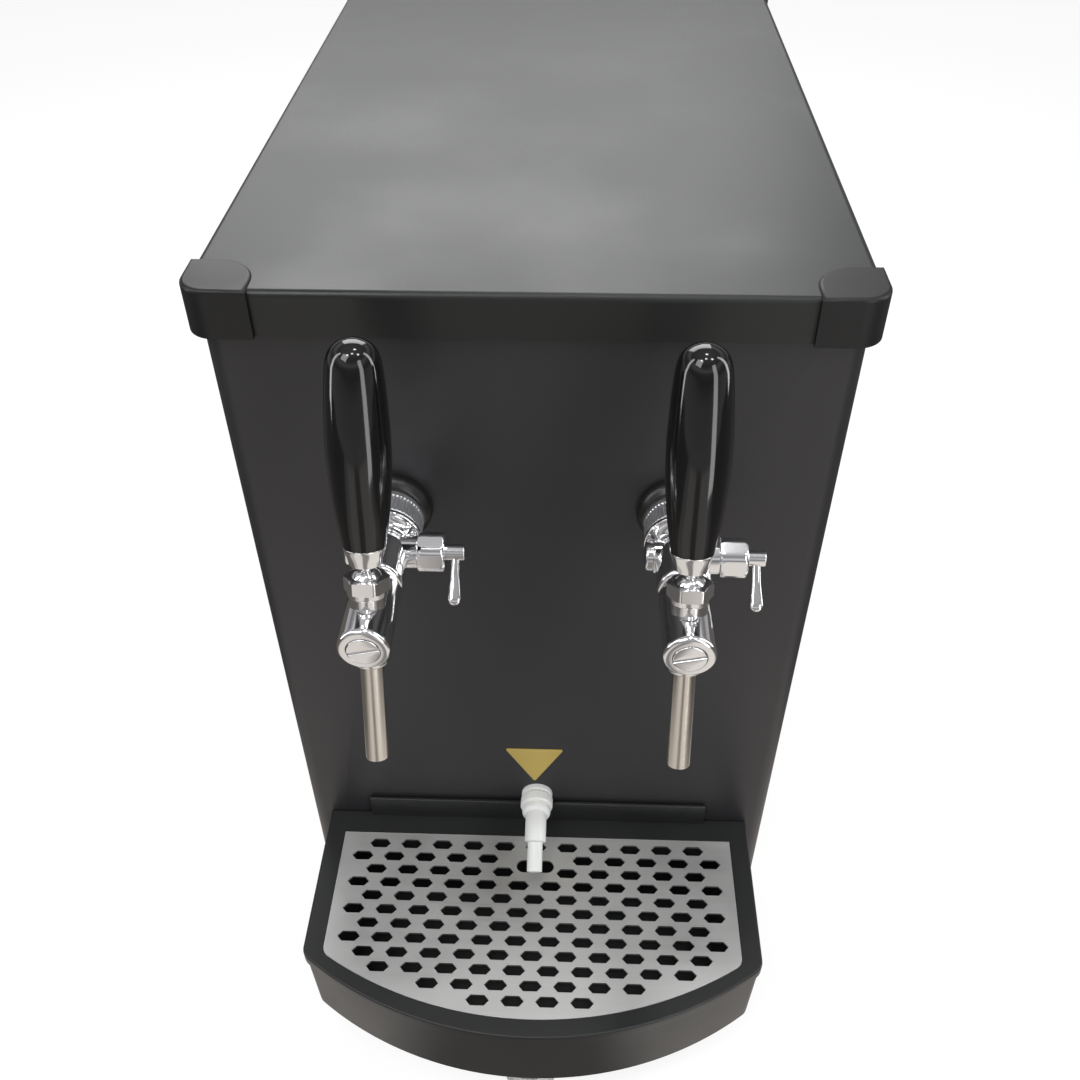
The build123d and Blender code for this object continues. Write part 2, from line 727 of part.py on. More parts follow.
def make_body(tap, side):
    """Tap body: tail, regulator chamber, horizontal barrel, tilted neck and spout boss."""
    flange_front = ring_front + flange_thickness
    seat = ball_radius + ball_clearance
    slot_top, slot_bottom = barrel_below_pivot - arm_slot_start, 0
    swing = tan(radians(half_swing))
    with BuildPart() as body:
        with BuildSketch(tap.section):
            with BuildLine():
                Polyline(
                    (body_front, 0), (shank_front, 0), (shank_front, tail_radius),
                    (ring_front - ring_lip - fit, tail_radius), (ring_front - ring_lip - fit, tail_neck_radius),
                    (ring_front, tail_neck_radius), (ring_front, flange_radius),
                    (flange_front - 1, flange_radius), (flange_front, flange_radius - 1),
                )
                RadiusArc((flange_front, flange_radius - 1), (flange_front + flange_hollow, body_waist_radius),
                          -flange_hollow - 0.5)
                Polyline((flange_front + flange_hollow, body_waist_radius),
                         (flange_front + 2 * flange_hollow, body_radius),
                         (body_front, body_radius), (body_front, 0))
            make_face()
        revolve(axis=tap.shank_axis)
        with BuildSketch(tap.cross.offset(-flow_boss_left)):
            Circle(flow_boss_radius)
        extrude(amount=flow_boss_left + flow_boss_right)
        with BuildSketch(tap.barrel.offset(barrel_rear)):
            Circle(barrel_radius)
        extrude(amount=barrel_front - barrel_rear)
        fillet(body.edges().filter_by(GeomType.CIRCLE).sort_by(Axis.Y)[0], barrel_edge_radius)
        with BuildSketch(tap.head.offset(bonnet_base - fit)):
            Circle(bonnet_corner_radius + 6 * fit)
        extrude(amount=barrel_radius, mode=Mode.SUBTRACT)
        with BuildSketch(tap.head):
            Circle(neck_radius)
        extrude(amount=neck_top)
        with BuildSketch(tap.head.offset(-spout_boss_bottom)):
            Circle(spout_boss_radius)
        extrude(amount=spout_boss_bottom)
        turned(tap.section, tap.shank_axis, [
            (shank_front, 0), (shank_front, cone_bore_rear), (shank_front + cone_bore_length, cone_bore_front),
            (barrel_rear + 2, cone_bore_front), (barrel_rear + 2, 0),
        ], mode=Mode.SUBTRACT)
        for radius, rear, front in (
            (chamber_radius, barrel_rear, chamber_front),
            (spool_bore, chamber_front, plug_rear),
            (plug_radius + fit, plug_rear, barrel_front),
        ):
            with BuildSketch(tap.barrel.offset(rear)):
                Circle(radius)
            extrude(amount=front - rear, mode=Mode.SUBTRACT)
        with BuildSketch(tap.head.offset(-spout_socket_top)):
            Circle(port_radius)
        extrude(amount=spout_socket_top / 2, mode=Mode.SUBTRACT)
        with BuildSketch(tap.head.offset(-spout_boss_bottom)):
            Circle(spout_radius + fit)
        extrude(amount=spout_boss_bottom - spout_socket_top, mode=Mode.SUBTRACT)
        with Locations(tap.pivot):
            Sphere(seat, mode=Mode.SUBTRACT)
        with BuildSketch(tap.barrel_section):
            with BuildLine():
                top_half = arm_radius + 1 + arm_slot_start * swing
                bottom_half = arm_radius + 1 + (barrel_below_pivot - slot_bottom) * swing
                Polyline(
                    (pivot_reach - top_half, slot_top), (pivot_reach + top_half, slot_top),
                    (pivot_reach + bottom_half, slot_bottom), (pivot_reach - bottom_half, slot_bottom),
                    close=True,
                )
            make_face()
        extrude(amount=arm_slot_width / 2, both=True, mode=Mode.SUBTRACT)
        with BuildSketch(tap.cross):
            Circle(spindle_radius + fit)
        extrude(amount=flow_boss_right, mode=Mode.SUBTRACT)
        with BuildSketch(tap.cross.offset(-flow_boss_left)):
            Circle(screw_shank_radius + fit)
        extrude(amount=screw_shank_length + fit, mode=Mode.SUBTRACT)
    keep(body, f"tap_body_{side}")


def make_bonnet(tap, side):
    """Hexagon bonnet that holds the lever's ball down on the neck."""
    top = pivot_height + bonnet_rim
    with BuildPart() as bonnet:
        with BuildSketch(tap.head.offset(bonnet_base)):
            Circle(bonnet_skirt_radius)
        extrude(amount=bonnet_skirt)
        with BuildSketch(tap.head.offset(bonnet_base + bonnet_skirt)):
            RegularPolygon(bonnet_across_flats / 2, 6, major_radius=False)
        extrude(amount=top - bonnet_base - bonnet_skirt)
        with BuildSketch(tap.head_section):
            with BuildLine():
                bevel = 1.4
                Polyline(
                    (0, bonnet_base), (bonnet_skirt_radius, bonnet_base),
                    (bonnet_corner_radius, bonnet_base + bevel),
                    (bonnet_corner_radius, top - bevel), (bonnet_corner_radius - 2 * bevel, top), (0, top),
                    close=True,
                )
            make_face()
        revolve(axis=tap.head_axis, mode=Mode.INTERSECT)
        with BuildSketch(tap.head.offset(bonnet_base)):
            Circle(neck_radius + fit)
        extrude(amount=pivot_height - bonnet_base, mode=Mode.SUBTRACT)
        with Locations(tap.pivot):
            Sphere(ball_radius + ball_clearance, mode=Mode.SUBTRACT)
        with BuildSketch(tap.head.offset(pivot_height)):
            Circle(sqrt((ball_radius + ball_clearance) ** 2 - bonnet_rim**2))
        extrude(amount=bonnet_rim, mode=Mode.SUBTRACT)
    keep(bonnet, f"bonnet_nut_{side}")


def make_lever(tap, side):
    """Lever: ball, stud and ferrule above, driving arm with its round tip below."""
    ferrule_base = pivot_height + ferrule_rise
    ferrule_top = ferrule_base + ferrule_length
    swing = radians(half_swing)
    arm_plane = Plane(origin=tap.pivot, x_dir=(1, 0, 0), z_dir=(0, -sin(swing), -cos(swing)))
    tip = (tap.x, front_y - tip_reach, shank_z - barrel_drop)
    with BuildPart() as lever:
        with Locations(tap.pivot):
            Sphere(ball_radius)
        turned(tap.head_section, tap.head_axis, [
            (0, pivot_height), (stud_radius, pivot_height), (stud_radius, ferrule_base),
            (ferrule_bottom_radius, ferrule_base), (ferrule_top_radius, ferrule_top - 1),
            (ferrule_top_radius, ferrule_top), (stud_grip_radius, ferrule_top),
            (stud_grip_radius, ferrule_top + stud_grip_length), (0, ferrule_top + stud_grip_length),
        ])
        with BuildSketch(arm_plane):
            Circle(arm_radius)
        extrude(amount=arm_length)
        with Locations(tip):
            Sphere(arm_tip_radius)
    keep(lever, f"lever_stem_{side}")


def make_grip(tap, side):
    """Turned handle grip, fullest at its middle, with a domed top."""
    base = pivot_height + ferrule_rise + ferrule_length
    with BuildPart() as grip:
        with BuildSketch(tap.head_section):
            with BuildLine():
                Spline(
                    (grip_base_radius, base), (grip_radius - 1.5, base + 0.22 * grip_length),
                    (grip_radius, base + 0.48 * grip_length), (grip_radius - 0.8, base + 0.72 * grip_length),
                    (grip_shoulder_radius, base + 0.9 * grip_length),
                    (0.72 * grip_shoulder_radius, base + 0.967 * grip_length),
                    (0, base + grip_length),
                    tangents=((0.15, 1), (-1, 0)),
                )
                Polyline((0, base + grip_length), (0, base + stud_grip_length + fit),
                         (stud_grip_radius + fit, base + stud_grip_length + fit),
                         (stud_grip_radius + fit, base), (grip_base_radius, base))
            make_face()
        revolve(axis=tap.head_axis)
    keep(grip, f"handle_grip_{side}")


def make_spool(tap, side):
    """Sliding spool: full sealing land behind, flatted body with the cross groove for the lever's tip."""
    groove_front = tip_reach + spool_groove / 2
    groove_rear = tip_reach - spool_groove / 2
    land_front = groove_rear - spool_neck
    land_rear = land_front - spool_land
    with BuildPart() as spool:
        with BuildSketch(tap.barrel.offset(land_rear)):
            Circle(spool_radius)
        extrude(amount=spool_front - land_rear)
        with BuildSketch(tap.barrel.offset(land_front)):
            for sign in (-1, 1):
                with Locations((sign * (spool_half_flat + spool_radius / 2), 0)):
                    Rectangle(spool_radius, 2 * spool_radius + 1)
            with Locations((0, spool_top_flat + spool_radius / 2)):
                Rectangle(2 * spool_radius, spool_radius)
        extrude(amount=spool_front - land_front, mode=Mode.SUBTRACT)
        with BuildSketch(tap.barrel.offset(groove_rear)):
            with Locations((0, spool_radius - spool_floor)):
                Rectangle(2 * spool_radius + 1, 2 * spool_radius)
        extrude(amount=groove_front - groove_rear, mode=Mode.SUBTRACT)
    keep(spool, f"spool_{side}")


def make_plug(tap, side):
    """Slotted plug that closes the front of the barrel."""
    with BuildPart() as plug:
        with BuildSketch(tap.barrel.offset(plug_rear)):
            Circle(plug_radius)
        extrude(amount=barrel_front + plug_proud - plug_rear)
        chamfer(plug.edges().filter_by(GeomType.CIRCLE).sort_by(Axis.Y)[0], 0.5)
        with BuildSketch(tap.barrel.offset(barrel_front + plug_proud)):
            Rectangle(2 * plug_radius + 1, plug_slot, rotation=14)
        extrude(amount=-plug_slot, mode=Mode.SUBTRACT)
    keep(plug, f"front_plug_{side}")


def make_spout(tap, side):
    """Straight outlet tube in line with the head."""
    with BuildPart() as spout:
        with BuildSketch(tap.head.offset(-spout_socket_top)):
            Circle(spout_radius)
            Circle(spout_radius - spout_wall, mode=Mode.SUBTRACT)
        extrude(amount=-spout_length)
    keep(spout, f"spout_{side}")


def make_flow_cone(tap, side):
    """Regulator cone, with the slotted tongue that the spindle's pin moves."""
    slope = (cone_bore_front - cone_bore_rear) / cone_bore_length
    rear_radius = cone_bore_rear + slope * (cone_rear - shank_front) - cone_gap
    front_radius = cone_bore_rear + slope * (cone_front - shank_front) - cone_gap
    tongue_middle = (tongue_right - tongue_left) / 2
    with BuildPart() as cone:
        turned(tap.section, tap.shank_axis, [
            (cone_rear, 0), (cone_rear, rear_radius), (cone_front, front_radius), (cone_front, 0),
        ])
        with BuildSketch(tap.shank.offset(cone_front)):
            with Locations((tongue_middle, 0)):
                Rectangle(tongue_left + tongue_right, 2 * tongue_half_height)
        extrude(amount=tongue_front - cone_front)
        with BuildSketch(tap.cross):
            with Locations((0, -tongue_half_height)):
                Rectangle(2 * (pin_radius + pin_gap), 2 * (tongue_half_height - pin_radius))
        extrude(amount=2 * tongue_half_height, both=True, mode=Mode.SUBTRACT)
    keep(cone, f"flow_cone_{side}")


def make_gland(tap, side):
    """Round gland nut that seals the regulator spindle."""
    with BuildPart() as gland:
        with BuildSketch(tap.cross.offset(flow_boss_right)):
            Circle(gland_radius)
        extrude(amount=gland_length)
        chamfer(gland.edges().filter_by(GeomType.CIRCLE), 0.9)
        with BuildSketch(tap.cross.offset(flow_boss_right)):
            Circle(spindle_radius + fit)
        extrude(amount=gland_length, mode=Mode.SUBTRACT)
    keep(gland, f"flow_gland_{side}")


def make_flow_lever(tap, side):
    """Spindle with its eccentric pin inside and the small flow lever outside."""
    lean = radians(lever_arm_angle)
    along = (0, -sin(lean), -cos(lean))
    arm_plane = Plane(
        origin=(tap.x + lever_arm_x, front_y - flow_reach, shank_z),
        x_dir=(1, 0, 0), z_dir=(0, -cos(lean), sin(lean)))
    direction = 1 if arm_plane.y_dir.dot(Vector(*along)) > 0 else -1
    with BuildPart() as flow_lever:
        with BuildSketch(tap.cross.offset(spindle_inner_end)):
            Circle(spindle_radius)
        extrude(amount=spindle_outer_end - spindle_inner_end)
        chamfer(flow_lever.edges().filter_by(GeomType.CIRCLE).sort_by(Axis.X)[-1], 0.6)
        with BuildSketch(tap.cross.offset(-tongue_left + 2 * fit)):
            with Locations((0, -pin_throw)):
                Circle(pin_radius)
        extrude(amount=spindle_inner_end + tongue_left)
        with BuildSketch(arm_plane) as paddle:
            with BuildLine():
                end = direction * lever_arm_length
                shoulder = direction * (lever_arm_length - lever_arm_tip / 2)
                Polyline((-lever_arm_tip / 2, shoulder), (-lever_arm_root / 2, 0),
                         (lever_arm_root / 2, 0), (lever_arm_tip / 2, shoulder))
                ThreePointArc((lever_arm_tip / 2, shoulder), (0, end), (-lever_arm_tip / 2, shoulder))
            make_face()
        extrude(amount=lever_arm_thickness / 2, both=True)
    keep(flow_lever, f"flow_lever_{side}")


tap_frames = {
    "left": TapFrame(-tap_spacing / 2),
    "right": TapFrame(tap_spacing / 2),
}
for side, tap in tap_frames.items():
    make_coupling_ring(tap, side)
    make_body(tap, side)
    make_bonnet(tap, side)
    make_lever(tap, side)
    make_grip(tap, side)
    make_spool(tap, side)
    make_plug(tap, side)
    make_spout(tap, side)
    make_flow_cone(tap, side)
    make_gland(tap, side)
    make_flow_lever(tap, side)

stub_y = front_y + shank_stub_setback
with BuildPart() as tap_shanks:
    for tap in tap_frames.values():
        turned(tap.section, tap.shank_axis, [
            (-shank_inside, 0), (-shank_inside, shank_radius - 1), (1 - shank_inside, shank_radius),
            (shank_front - 1, shank_radius), (shank_front, shank_radius - 1), (shank_front, 0),
        ])
        with BuildSketch(Plane.XY.offset(shank_z)):
            with Locations((tap.x, stub_y)):
                Circle(shank_stub_radius)
        extrude(amount=shank_stub_rise)
        with BuildSketch(tap.shank.offset(shank_front)):
            Circle(shank_bore)
        extrude(amount=-shank_front - shank_stub_setback, mode=Mode.SUBTRACT)
        with BuildSketch(Plane.XY.offset(shank_z)):
            with Locations((tap.x, stub_y)):
                Circle(shank_stub_radius - 1.5)
        extrude(amount=shank_stub_rise, mode=Mode.SUBTRACT)
keep(tap_shanks, "tap_shanks")

collar_bore = shank_radius + thread_gap
with BuildPart() as wall_collars:
    for tap in tap_frames.values():
        with BuildSketch(tap.section):
            with BuildLine():
                Polyline((0, collar_bore), (0, collar_radius), (collar_depth / 3, collar_radius))
                RadiusArc((collar_depth / 3, collar_radius), (collar_depth, collar_radius - collar_depth / 2),
                          collar_depth * 0.75)
                Polyline((collar_depth, collar_radius - collar_depth / 2), (collar_depth, collar_bore),
                         (0, collar_bore))
            make_face()
        revolve(axis=tap.shank_axis)
keep(wall_collars, "wall_collars")

with BuildPart() as shank_nuts:
    for tap in tap_frames.values():
        with BuildSketch(tap.shank.offset(-sheet)):
            RegularPolygon(nut_across_flats / 2, 6, major_radius=False)
            Circle(shank_radius + fit, mode=Mode.SUBTRACT)
        extrude(amount=-nut_thickness)
keep(shank_nuts, "shank_nuts")

with BuildPart() as vent_screws:
    for tap in tap_frames.values():
        with BuildSketch(tap.cross.offset(-flow_boss_left)):
            Circle(screw_head_radius)
        extrude(amount=-screw_head_length, taper=4)
        with BuildSketch(tap.cross.offset(-flow_boss_left)):
            Circle(screw_shank_radius)
        extrude(amount=screw_shank_length)
        with BuildSketch(tap.cross.offset(-flow_boss_left - screw_head_length)):
            RegularPolygon(screw_socket / 2, 6, major_radius=False)
        extrude(amount=screw_head_length / 2, mode=Mode.SUBTRACT)
keep(vent_screws, "vent_screws")

# ================================================================ water bath
with BuildPart() as tank_insulation:
    with BuildSketch(Plane.XY.offset(floor_z)):
        with Locations((0, bath_y)):
            Rectangle(2 * (inner_half - sheet), insulation_depth)
    extrude(amount=bath_top_z - floor_z)
    with BuildSketch(Plane.XY.offset(cavity_floor_z)):
        with Locations((0, bath_y)):
            Rectangle(2 * cavity_half_x, 2 * cavity_half_y)
    extrude(amount=bath_top_z - cavity_floor_z, mode=Mode.SUBTRACT)
    with BuildSketch(facing_front(insulation_front_y)):
        with Locations((0, nozzle_z)):
            Circle(nozzle_stem_radius + thread_gap)
    extrude(amount=-insulation_wall, mode=Mode.SUBTRACT)
keep(tank_insulation, "tank_insulation")

with BuildPart() as water_tank:
    with BuildSketch(Plane.XY.offset(cavity_floor_z)):
        with Locations((0, bath_y)):
            Rectangle(2 * cavity_half_x, 2 * cavity_half_y)
    extrude(amount=bath_top_z - cavity_floor_z)
    with BuildSketch(Plane.XY.offset(bath_top_z)):
        with Locations((0, bath_y)):
            Rectangle(2 * (cavity_half_x + tank_lip), 2 * (cavity_half_y + tank_lip))
    extrude(amount=tank_wall)
    with BuildSketch(Plane.XY.offset(tank_floor_z)):
        with Locations((0, bath_y)):
            Rectangle(2 * (cavity_half_x - tank_wall), 2 * (cavity_half_y - tank_wall))
    extrude(amount=bath_top_z - cavity_floor_z, mode=Mode.SUBTRACT)
    with BuildSketch(facing_front(front_y + tank_front)):
        with Locations((0, nozzle_z)):
            Circle(nozzle_stem_radius + thread_gap)
    extrude(amount=-tank_wall, mode=Mode.SUBTRACT)
keep(water_tank, "water_tank")


def coil_corners(low_x, high_x, half_y, start_z, pitch, turns):
    """Corners of a rectangular coil whose first turn lies flat and whose later turns climb."""
    front, back = bath_y - half_y, bath_y + half_y
    ring = [(low_x, back), (low_x, front), (high_x, front), (high_x, back)]
    corners = []
    for step in range(4 * turns):
        climb = max(0, step - 3) * pitch / 4
        corners.append((*ring[step % 4], start_z + climb))
    return corners


def tube_along(points, bend):
    """Sweep the cooling tube along straight runs joined by tangent bends."""
    with BuildLine() as route:
        FilletPolyline(*points, radius=bend)
    with BuildSketch(Plane(origin=route.line @ 0, z_dir=route.line % 0)) as bore:
        Circle(tube_radius)
    sweep(bore.sketch, path=route.line)


coil_start_z = tank_floor_z + tube_radius + coil_clearance
compressor_y = rear_y - compressor_rear_gap
compressor_top_z = floor_z + compressor_height
condenser_rear_y = rear_y - sheet - 3.0
condenser_y = condenser_rear_y - condenser_thickness / 2
evaporator_corners = coil_corners(-evaporator_half_x, evaporator_half_x, evaporator_half_y,
                                  coil_start_z, coil_pitch, 2)
lead_z = bath_top_z + 20.0
suction_x = compressor_x
evaporator_lead_y = bath_y + evaporator_half_y + coil_lead_gap
product_lead_y = bath_y + product_half_y + coil_lead_gap
liquid_stub_z = floor_z + condenser_height + stub_height
suction_stub_z = compressor_top_z + stub_height
with BuildPart() as evaporator_coil:
    tube_along(
        [
            (suction_x, compressor_y, suction_stub_z), (suction_x, compressor_y, lead_z),
            (suction_x, evaporator_lead_y, lead_z), (suction_x, evaporator_lead_y, coil_start_z),
            (-evaporator_half_x, evaporator_lead_y, coil_start_z),
        ]
        + evaporator_corners[1:]
        + [
            (evaporator_half_x, bath_y + evaporator_half_y, lead_z), (evaporator_half_x, condenser_y, lead_z),
            (evaporator_half_x, condenser_y, liquid_stub_z),
        ],
        tube_bend,
    )
keep(evaporator_coil, "evaporator_coil")

with BuildPart() as product_coils:
    for sign in (-1, 1):
        tap_x = sign * tap_spacing / 2
        coil = coil_corners(sign * product_near_x, sign * product_far_x, product_half_y,
                            coil_start_z, coil_pitch, 2)
        end_x, end_y, end_z = coil[-1]
        outlet_z = product_lead_z + 2.5 * tube_radius
        tube_along(
            [
                (sign * inlet_x, rear_y - inlet_reach, product_lead_z),
                (sign * inlet_x, product_lead_y, product_lead_z),
                (sign * inlet_x, product_lead_y, coil_start_z),
                (sign * product_near_x, product_lead_y, coil_start_z),
            ]
            + coil[1:]
            + [
                (end_x, end_y, outlet_z),
                (tap_x, front_y + shank_stub_setback, outlet_z),
                (tap_x, front_y + shank_stub_setback, shank_z + shank_stub_rise),
            ],
            tube_bend,
        )
keep(product_coils, "product_coils")

with BuildPart() as agitator_bracket:
    with BuildSketch(Plane.XY.offset(bath_top_z + tank_wall)):
        with Locations((0, bath_y)):
            Rectangle(2 * (cavity_half_x + tank_lip), bracket_width)
            Circle(agitator_bush_radius, mode=Mode.SUBTRACT)
    extrude(amount=bracket_thickness)
keep(agitator_bracket, "agitator_bracket")

with BuildPart() as agitator_motor:
    with BuildSketch(Plane.XY.offset(bracket_top_z)):
        with Locations((0, bath_y)):
            Circle(agitator_motor_radius)
    extrude(amount=agitator_motor_height)
    chamfer(agitator_motor.edges().filter_by(GeomType.CIRCLE).sort_by(Axis.Z)[-1], 3)
    with BuildSketch(Plane.XY.offset(bracket_top_z)):
        with Locations((0, bath_y)):
            Circle(agitator_shaft_radius + fit)
    extrude(amount=agitator_motor_height / 2, mode=Mode.SUBTRACT)
keep(agitator_motor, "agitator_motor")

with BuildPart() as agitator_impeller:
    shaft_length = bracket_top_z + agitator_motor_height / 2 - 1 - agitator_bottom_z
    with BuildSketch(Plane.XY.offset(agitator_bottom_z)):
        with Locations((0, bath_y)):
            Circle(agitator_shaft_radius)
    extrude(amount=shaft_length)
    with BuildSketch(Plane.XY.offset(agitator_bottom_z)):
        with Locations((0, bath_y)):
            Circle(agitator_shaft_radius + 2)
            Rectangle(2 * impeller_radius, blade_thickness)
            Rectangle(blade_thickness, 2 * impeller_radius)
    extrude(amount=impeller_height)
keep(agitator_impeller, "agitator_impeller")

# ================================================================ refrigeration
with BuildPart() as compressor:
    compressor_axis = Axis((compressor_x, compressor_y, floor_z), (0, 0, 1))
    compressor_section = Plane(origin=(compressor_x, compressor_y, floor_z), x_dir=(1, 0, 0), z_dir=(0, -1, 0))
    with BuildSketch(compressor_section):
        with BuildLine():
            Polyline((0, 0), (compressor_radius * 0.7, 0), (compressor_radius * 0.7, compressor_foot))
            ThreePointArc((compressor_radius * 0.7, compressor_foot), (compressor_radius * 0.93, compressor_foot * 2),
                          (compressor_radius, compressor_waist / 2))
            Line((compressor_radius, compressor_waist / 2), (compressor_radius, compressor_waist))
            Line((compressor_radius, compressor_waist), (compressor_radius - 3, compressor_waist + 4))
            ThreePointArc((compressor_radius - 3, compressor_waist + 4),
                          (compressor_radius * 0.75, compressor_height * 0.89), (0, compressor_height))
            Line((0, compressor_height), (0, 0))
        make_face()
    revolve(axis=compressor_axis)
    with BuildSketch(Plane.XY.offset(floor_z + compressor_foot)):
        with Locations((compressor_x, compressor_y)):
            RectangleRounded(1.9 * compressor_radius, 2.4 * compressor_radius, 12)
            with GridLocations(1.5 * compressor_radius, 2.0 * compressor_radius, 2, 2):
                Circle(4, mode=Mode.SUBTRACT)
    extrude(amount=3)
    with BuildSketch(Plane.XY.offset(compressor_top_z - 6)):
        with Locations((compressor_x, compressor_y)):
            Circle(stub_radius)
    extrude(amount=stub_height + 6)
keep(compressor, "compressor")

with BuildPart() as condenser:
    with BuildSketch(Plane.XY.offset(floor_z)):
        with Locations((condenser_x, condenser_y)):
            Rectangle(condenser_width, condenser_thickness)
    extrude(amount=condenser_plate)
    with BuildSketch(Plane.XY.offset(floor_z + condenser_height - condenser_plate)):
        with Locations((condenser_x, condenser_y)):
            Rectangle(condenser_width, condenser_thickness)
    extrude(amount=condenser_plate)
    with BuildSketch(Plane.XY.offset(floor_z)):
        with Locations((condenser_x, condenser_y)):
            with GridLocations((condenser_width - fin_thickness) / (fin_count - 1), 0, fin_count, 1):
                Rectangle(fin_thickness, condenser_thickness)
            with GridLocations(0, condenser_thickness / 2, 1, 2):
                Rectangle(condenser_width, fin_thickness)
    extrude(amount=condenser_height)
    with BuildSketch(Plane.XY.offset(floor_z + condenser_height)):
        with Locations((evaporator_half_x, condenser_y)):
            Circle(stub_radius)
    extrude(amount=stub_height)
keep(condenser, "condenser")

shroud_front_y = condenser_rear_y - condenser_thickness - shroud_thickness
with BuildPart() as fan_shroud:
    with BuildSketch(facing_front(shroud_front_y)):
        with Locations((condenser_x, condenser_z)):
            Rectangle(condenser_width, condenser_height)
    extrude(amount=-shroud_thickness)
    with BuildSketch(facing_front(shroud_front_y)):
        with Locations((condenser_x, condenser_z)):
            Circle(fan_radius + fan_gap)
    extrude(amount=-shroud_thickness, mode=Mode.SUBTRACT)
    with BuildSketch(facing_front(shroud_front_y)):
        with Locations((condenser_x, condenser_z)):
            Rectangle(condenser_width, strut_width)
    extrude(amount=-shroud_wall)
    with BuildSketch(facing_front(shroud_front_y)):
        with Locations((condenser_x, condenser_z)):
            Circle(fan_shaft_radius + 3)
    extrude(amount=-shroud_wall, mode=Mode.SUBTRACT)
keep(fan_shroud, "fan_shroud")

motor_front_y = shroud_front_y - fan_motor_length
with BuildPart() as fan_motor:
    with BuildSketch(facing_front(shroud_front_y)):
        with Locations((condenser_x, condenser_z)):
            Circle(fan_motor_radius)
    extrude(amount=fan_motor_length)
    chamfer(fan_motor.edges().filter_by(GeomType.CIRCLE).sort_by(Axis.Y)[0], 4)
    with BuildSketch(facing_front(shroud_front_y)):
        with Locations((condenser_x, condenser_z)):
            Circle(fan_shaft_radius + fit)
    extrude(amount=fan_motor_length / 2, mode=Mode.SUBTRACT)
keep(fan_motor, "fan_motor")

fan_rear_y = shroud_front_y + shroud_thickness - fan_gap
fan_depth = shroud_thickness - shroud_wall - 2 * fan_gap
fan_axis = Axis((condenser_x, shroud_front_y, condenser_z), (0, -1, 0))
with BuildPart() as fan_blade:
    with BuildSketch(facing_front(fan_rear_y)):
        with Locations((condenser_x, condenser_z)):
            Circle(fan_hub_radius)
    extrude(amount=fan_depth)
    with BuildSketch(facing_front(fan_rear_y)):
        with Locations((condenser_x, condenser_z)):
            Circle(fan_shaft_radius)
    extrude(amount=fan_rear_y - shroud_front_y + fan_motor_length / 2 - 1)
    blade_length = fan_radius - fan_hub_radius + 3
    blade_chord = fan_depth / sin(radians(fan_blade_pitch)) - 2
    for blade in range(fan_blade_count):
        turn = 360 / fan_blade_count * blade
        outward = Vector(cos(radians(turn)), 0, sin(radians(turn)))
        sideways = Vector(-sin(radians(turn)), 0, cos(radians(turn)))
        pitch = radians(fan_blade_pitch)
        chordwise = sideways * cos(pitch) + Vector(0, sin(pitch), 0)
        root = Vector(condenser_x, fan_rear_y - fan_depth / 2, condenser_z) + outward * (fan_hub_radius - 2)
        with BuildSketch(Plane(origin=root, x_dir=chordwise, z_dir=outward)):
            Rectangle(blade_chord, fan_blade_thickness)
        extrude(amount=blade_length - 1)
keep(fan_blade, "fan_blade")

# ================================================================ back panel fittings
socket_flange = 3.0
socket_body = 22.0
recess_width, recess_height, recess_depth = 24.0, 16.4, 17.0
with BuildPart() as power_inlet:
    with BuildSketch(facing_front(rear_y)):
        with Locations((socket_x, socket_z)):
            RectangleRounded(socket_width, socket_height + 4, 4)
    extrude(amount=-socket_flange)
    with BuildSketch(facing_front(rear_y)):
        with Locations((socket_x, socket_z)):
            Rectangle(socket_width - 16 - 2 * fit, socket_height - 2 * fit)
    extrude(amount=socket_body)
    with BuildSketch(facing_front(rear_y + socket_flange)):
        with Locations((socket_x, socket_z)):
            Rectangle(recess_width, recess_height)
    extrude(amount=recess_depth, mode=Mode.SUBTRACT)
    with BuildSketch(facing_front(rear_y + socket_flange - recess_depth)):
        with Locations((socket_x - 7, socket_z + 2), (socket_x + 7, socket_z + 2), (socket_x, socket_z + 4)):
            Rectangle(2, 4)
    extrude(amount=-recess_depth + 4)
keep(power_inlet, "power_inlet")

rocker_width, rocker_height = 16.0, 12.0
rocker_pivot_depth = 1.0
with BuildPart() as switch_body:
    with BuildSketch(facing_front(rear_y)):
        with Locations((switch_x, switch_z)):
            RectangleRounded(switch_width, switch_height, 2)
    extrude(amount=-2.0)
    with BuildSketch(facing_front(rear_y)):
        with Locations((switch_x, switch_z)):
            Rectangle(switch_width - 4 - 2 * fit, switch_height - 4 - 2 * fit)
    extrude(amount=18.0)
    with BuildSketch(facing_front(rear_y + 2.0)):
        with Locations((switch_x, switch_z)):
            Rectangle(rocker_width + 0.8, rocker_height + 0.8)
    extrude(amount=14.0, mode=Mode.SUBTRACT)
keep(switch_body, "switch_body")

rocker_swing = 9.0
rocker_axis_y = rear_y - rocker_pivot_depth
with BuildPart() as switch_rocker:
    with BuildSketch(Plane.XY.offset(switch_z - rocker_height / 2)):
        with BuildLine():
            crown = 3.2
            lean = radians(rocker_swing)
            half = rocker_width / 2 - 0.4
            corners = [(-half, crown), (0, crown + 1.2), (half, crown), (half - 1, -4.0), (-half + 1, -4.0)]
            Polyline(
                *[(switch_x + x * cos(lean) - y * sin(lean), rocker_axis_y + x * sin(lean) + y * cos(lean))
                  for x, y in corners],
                close=True,
            )
        make_face()
    extrude(amount=rocker_height)
keep(switch_rocker, "switch_rocker")

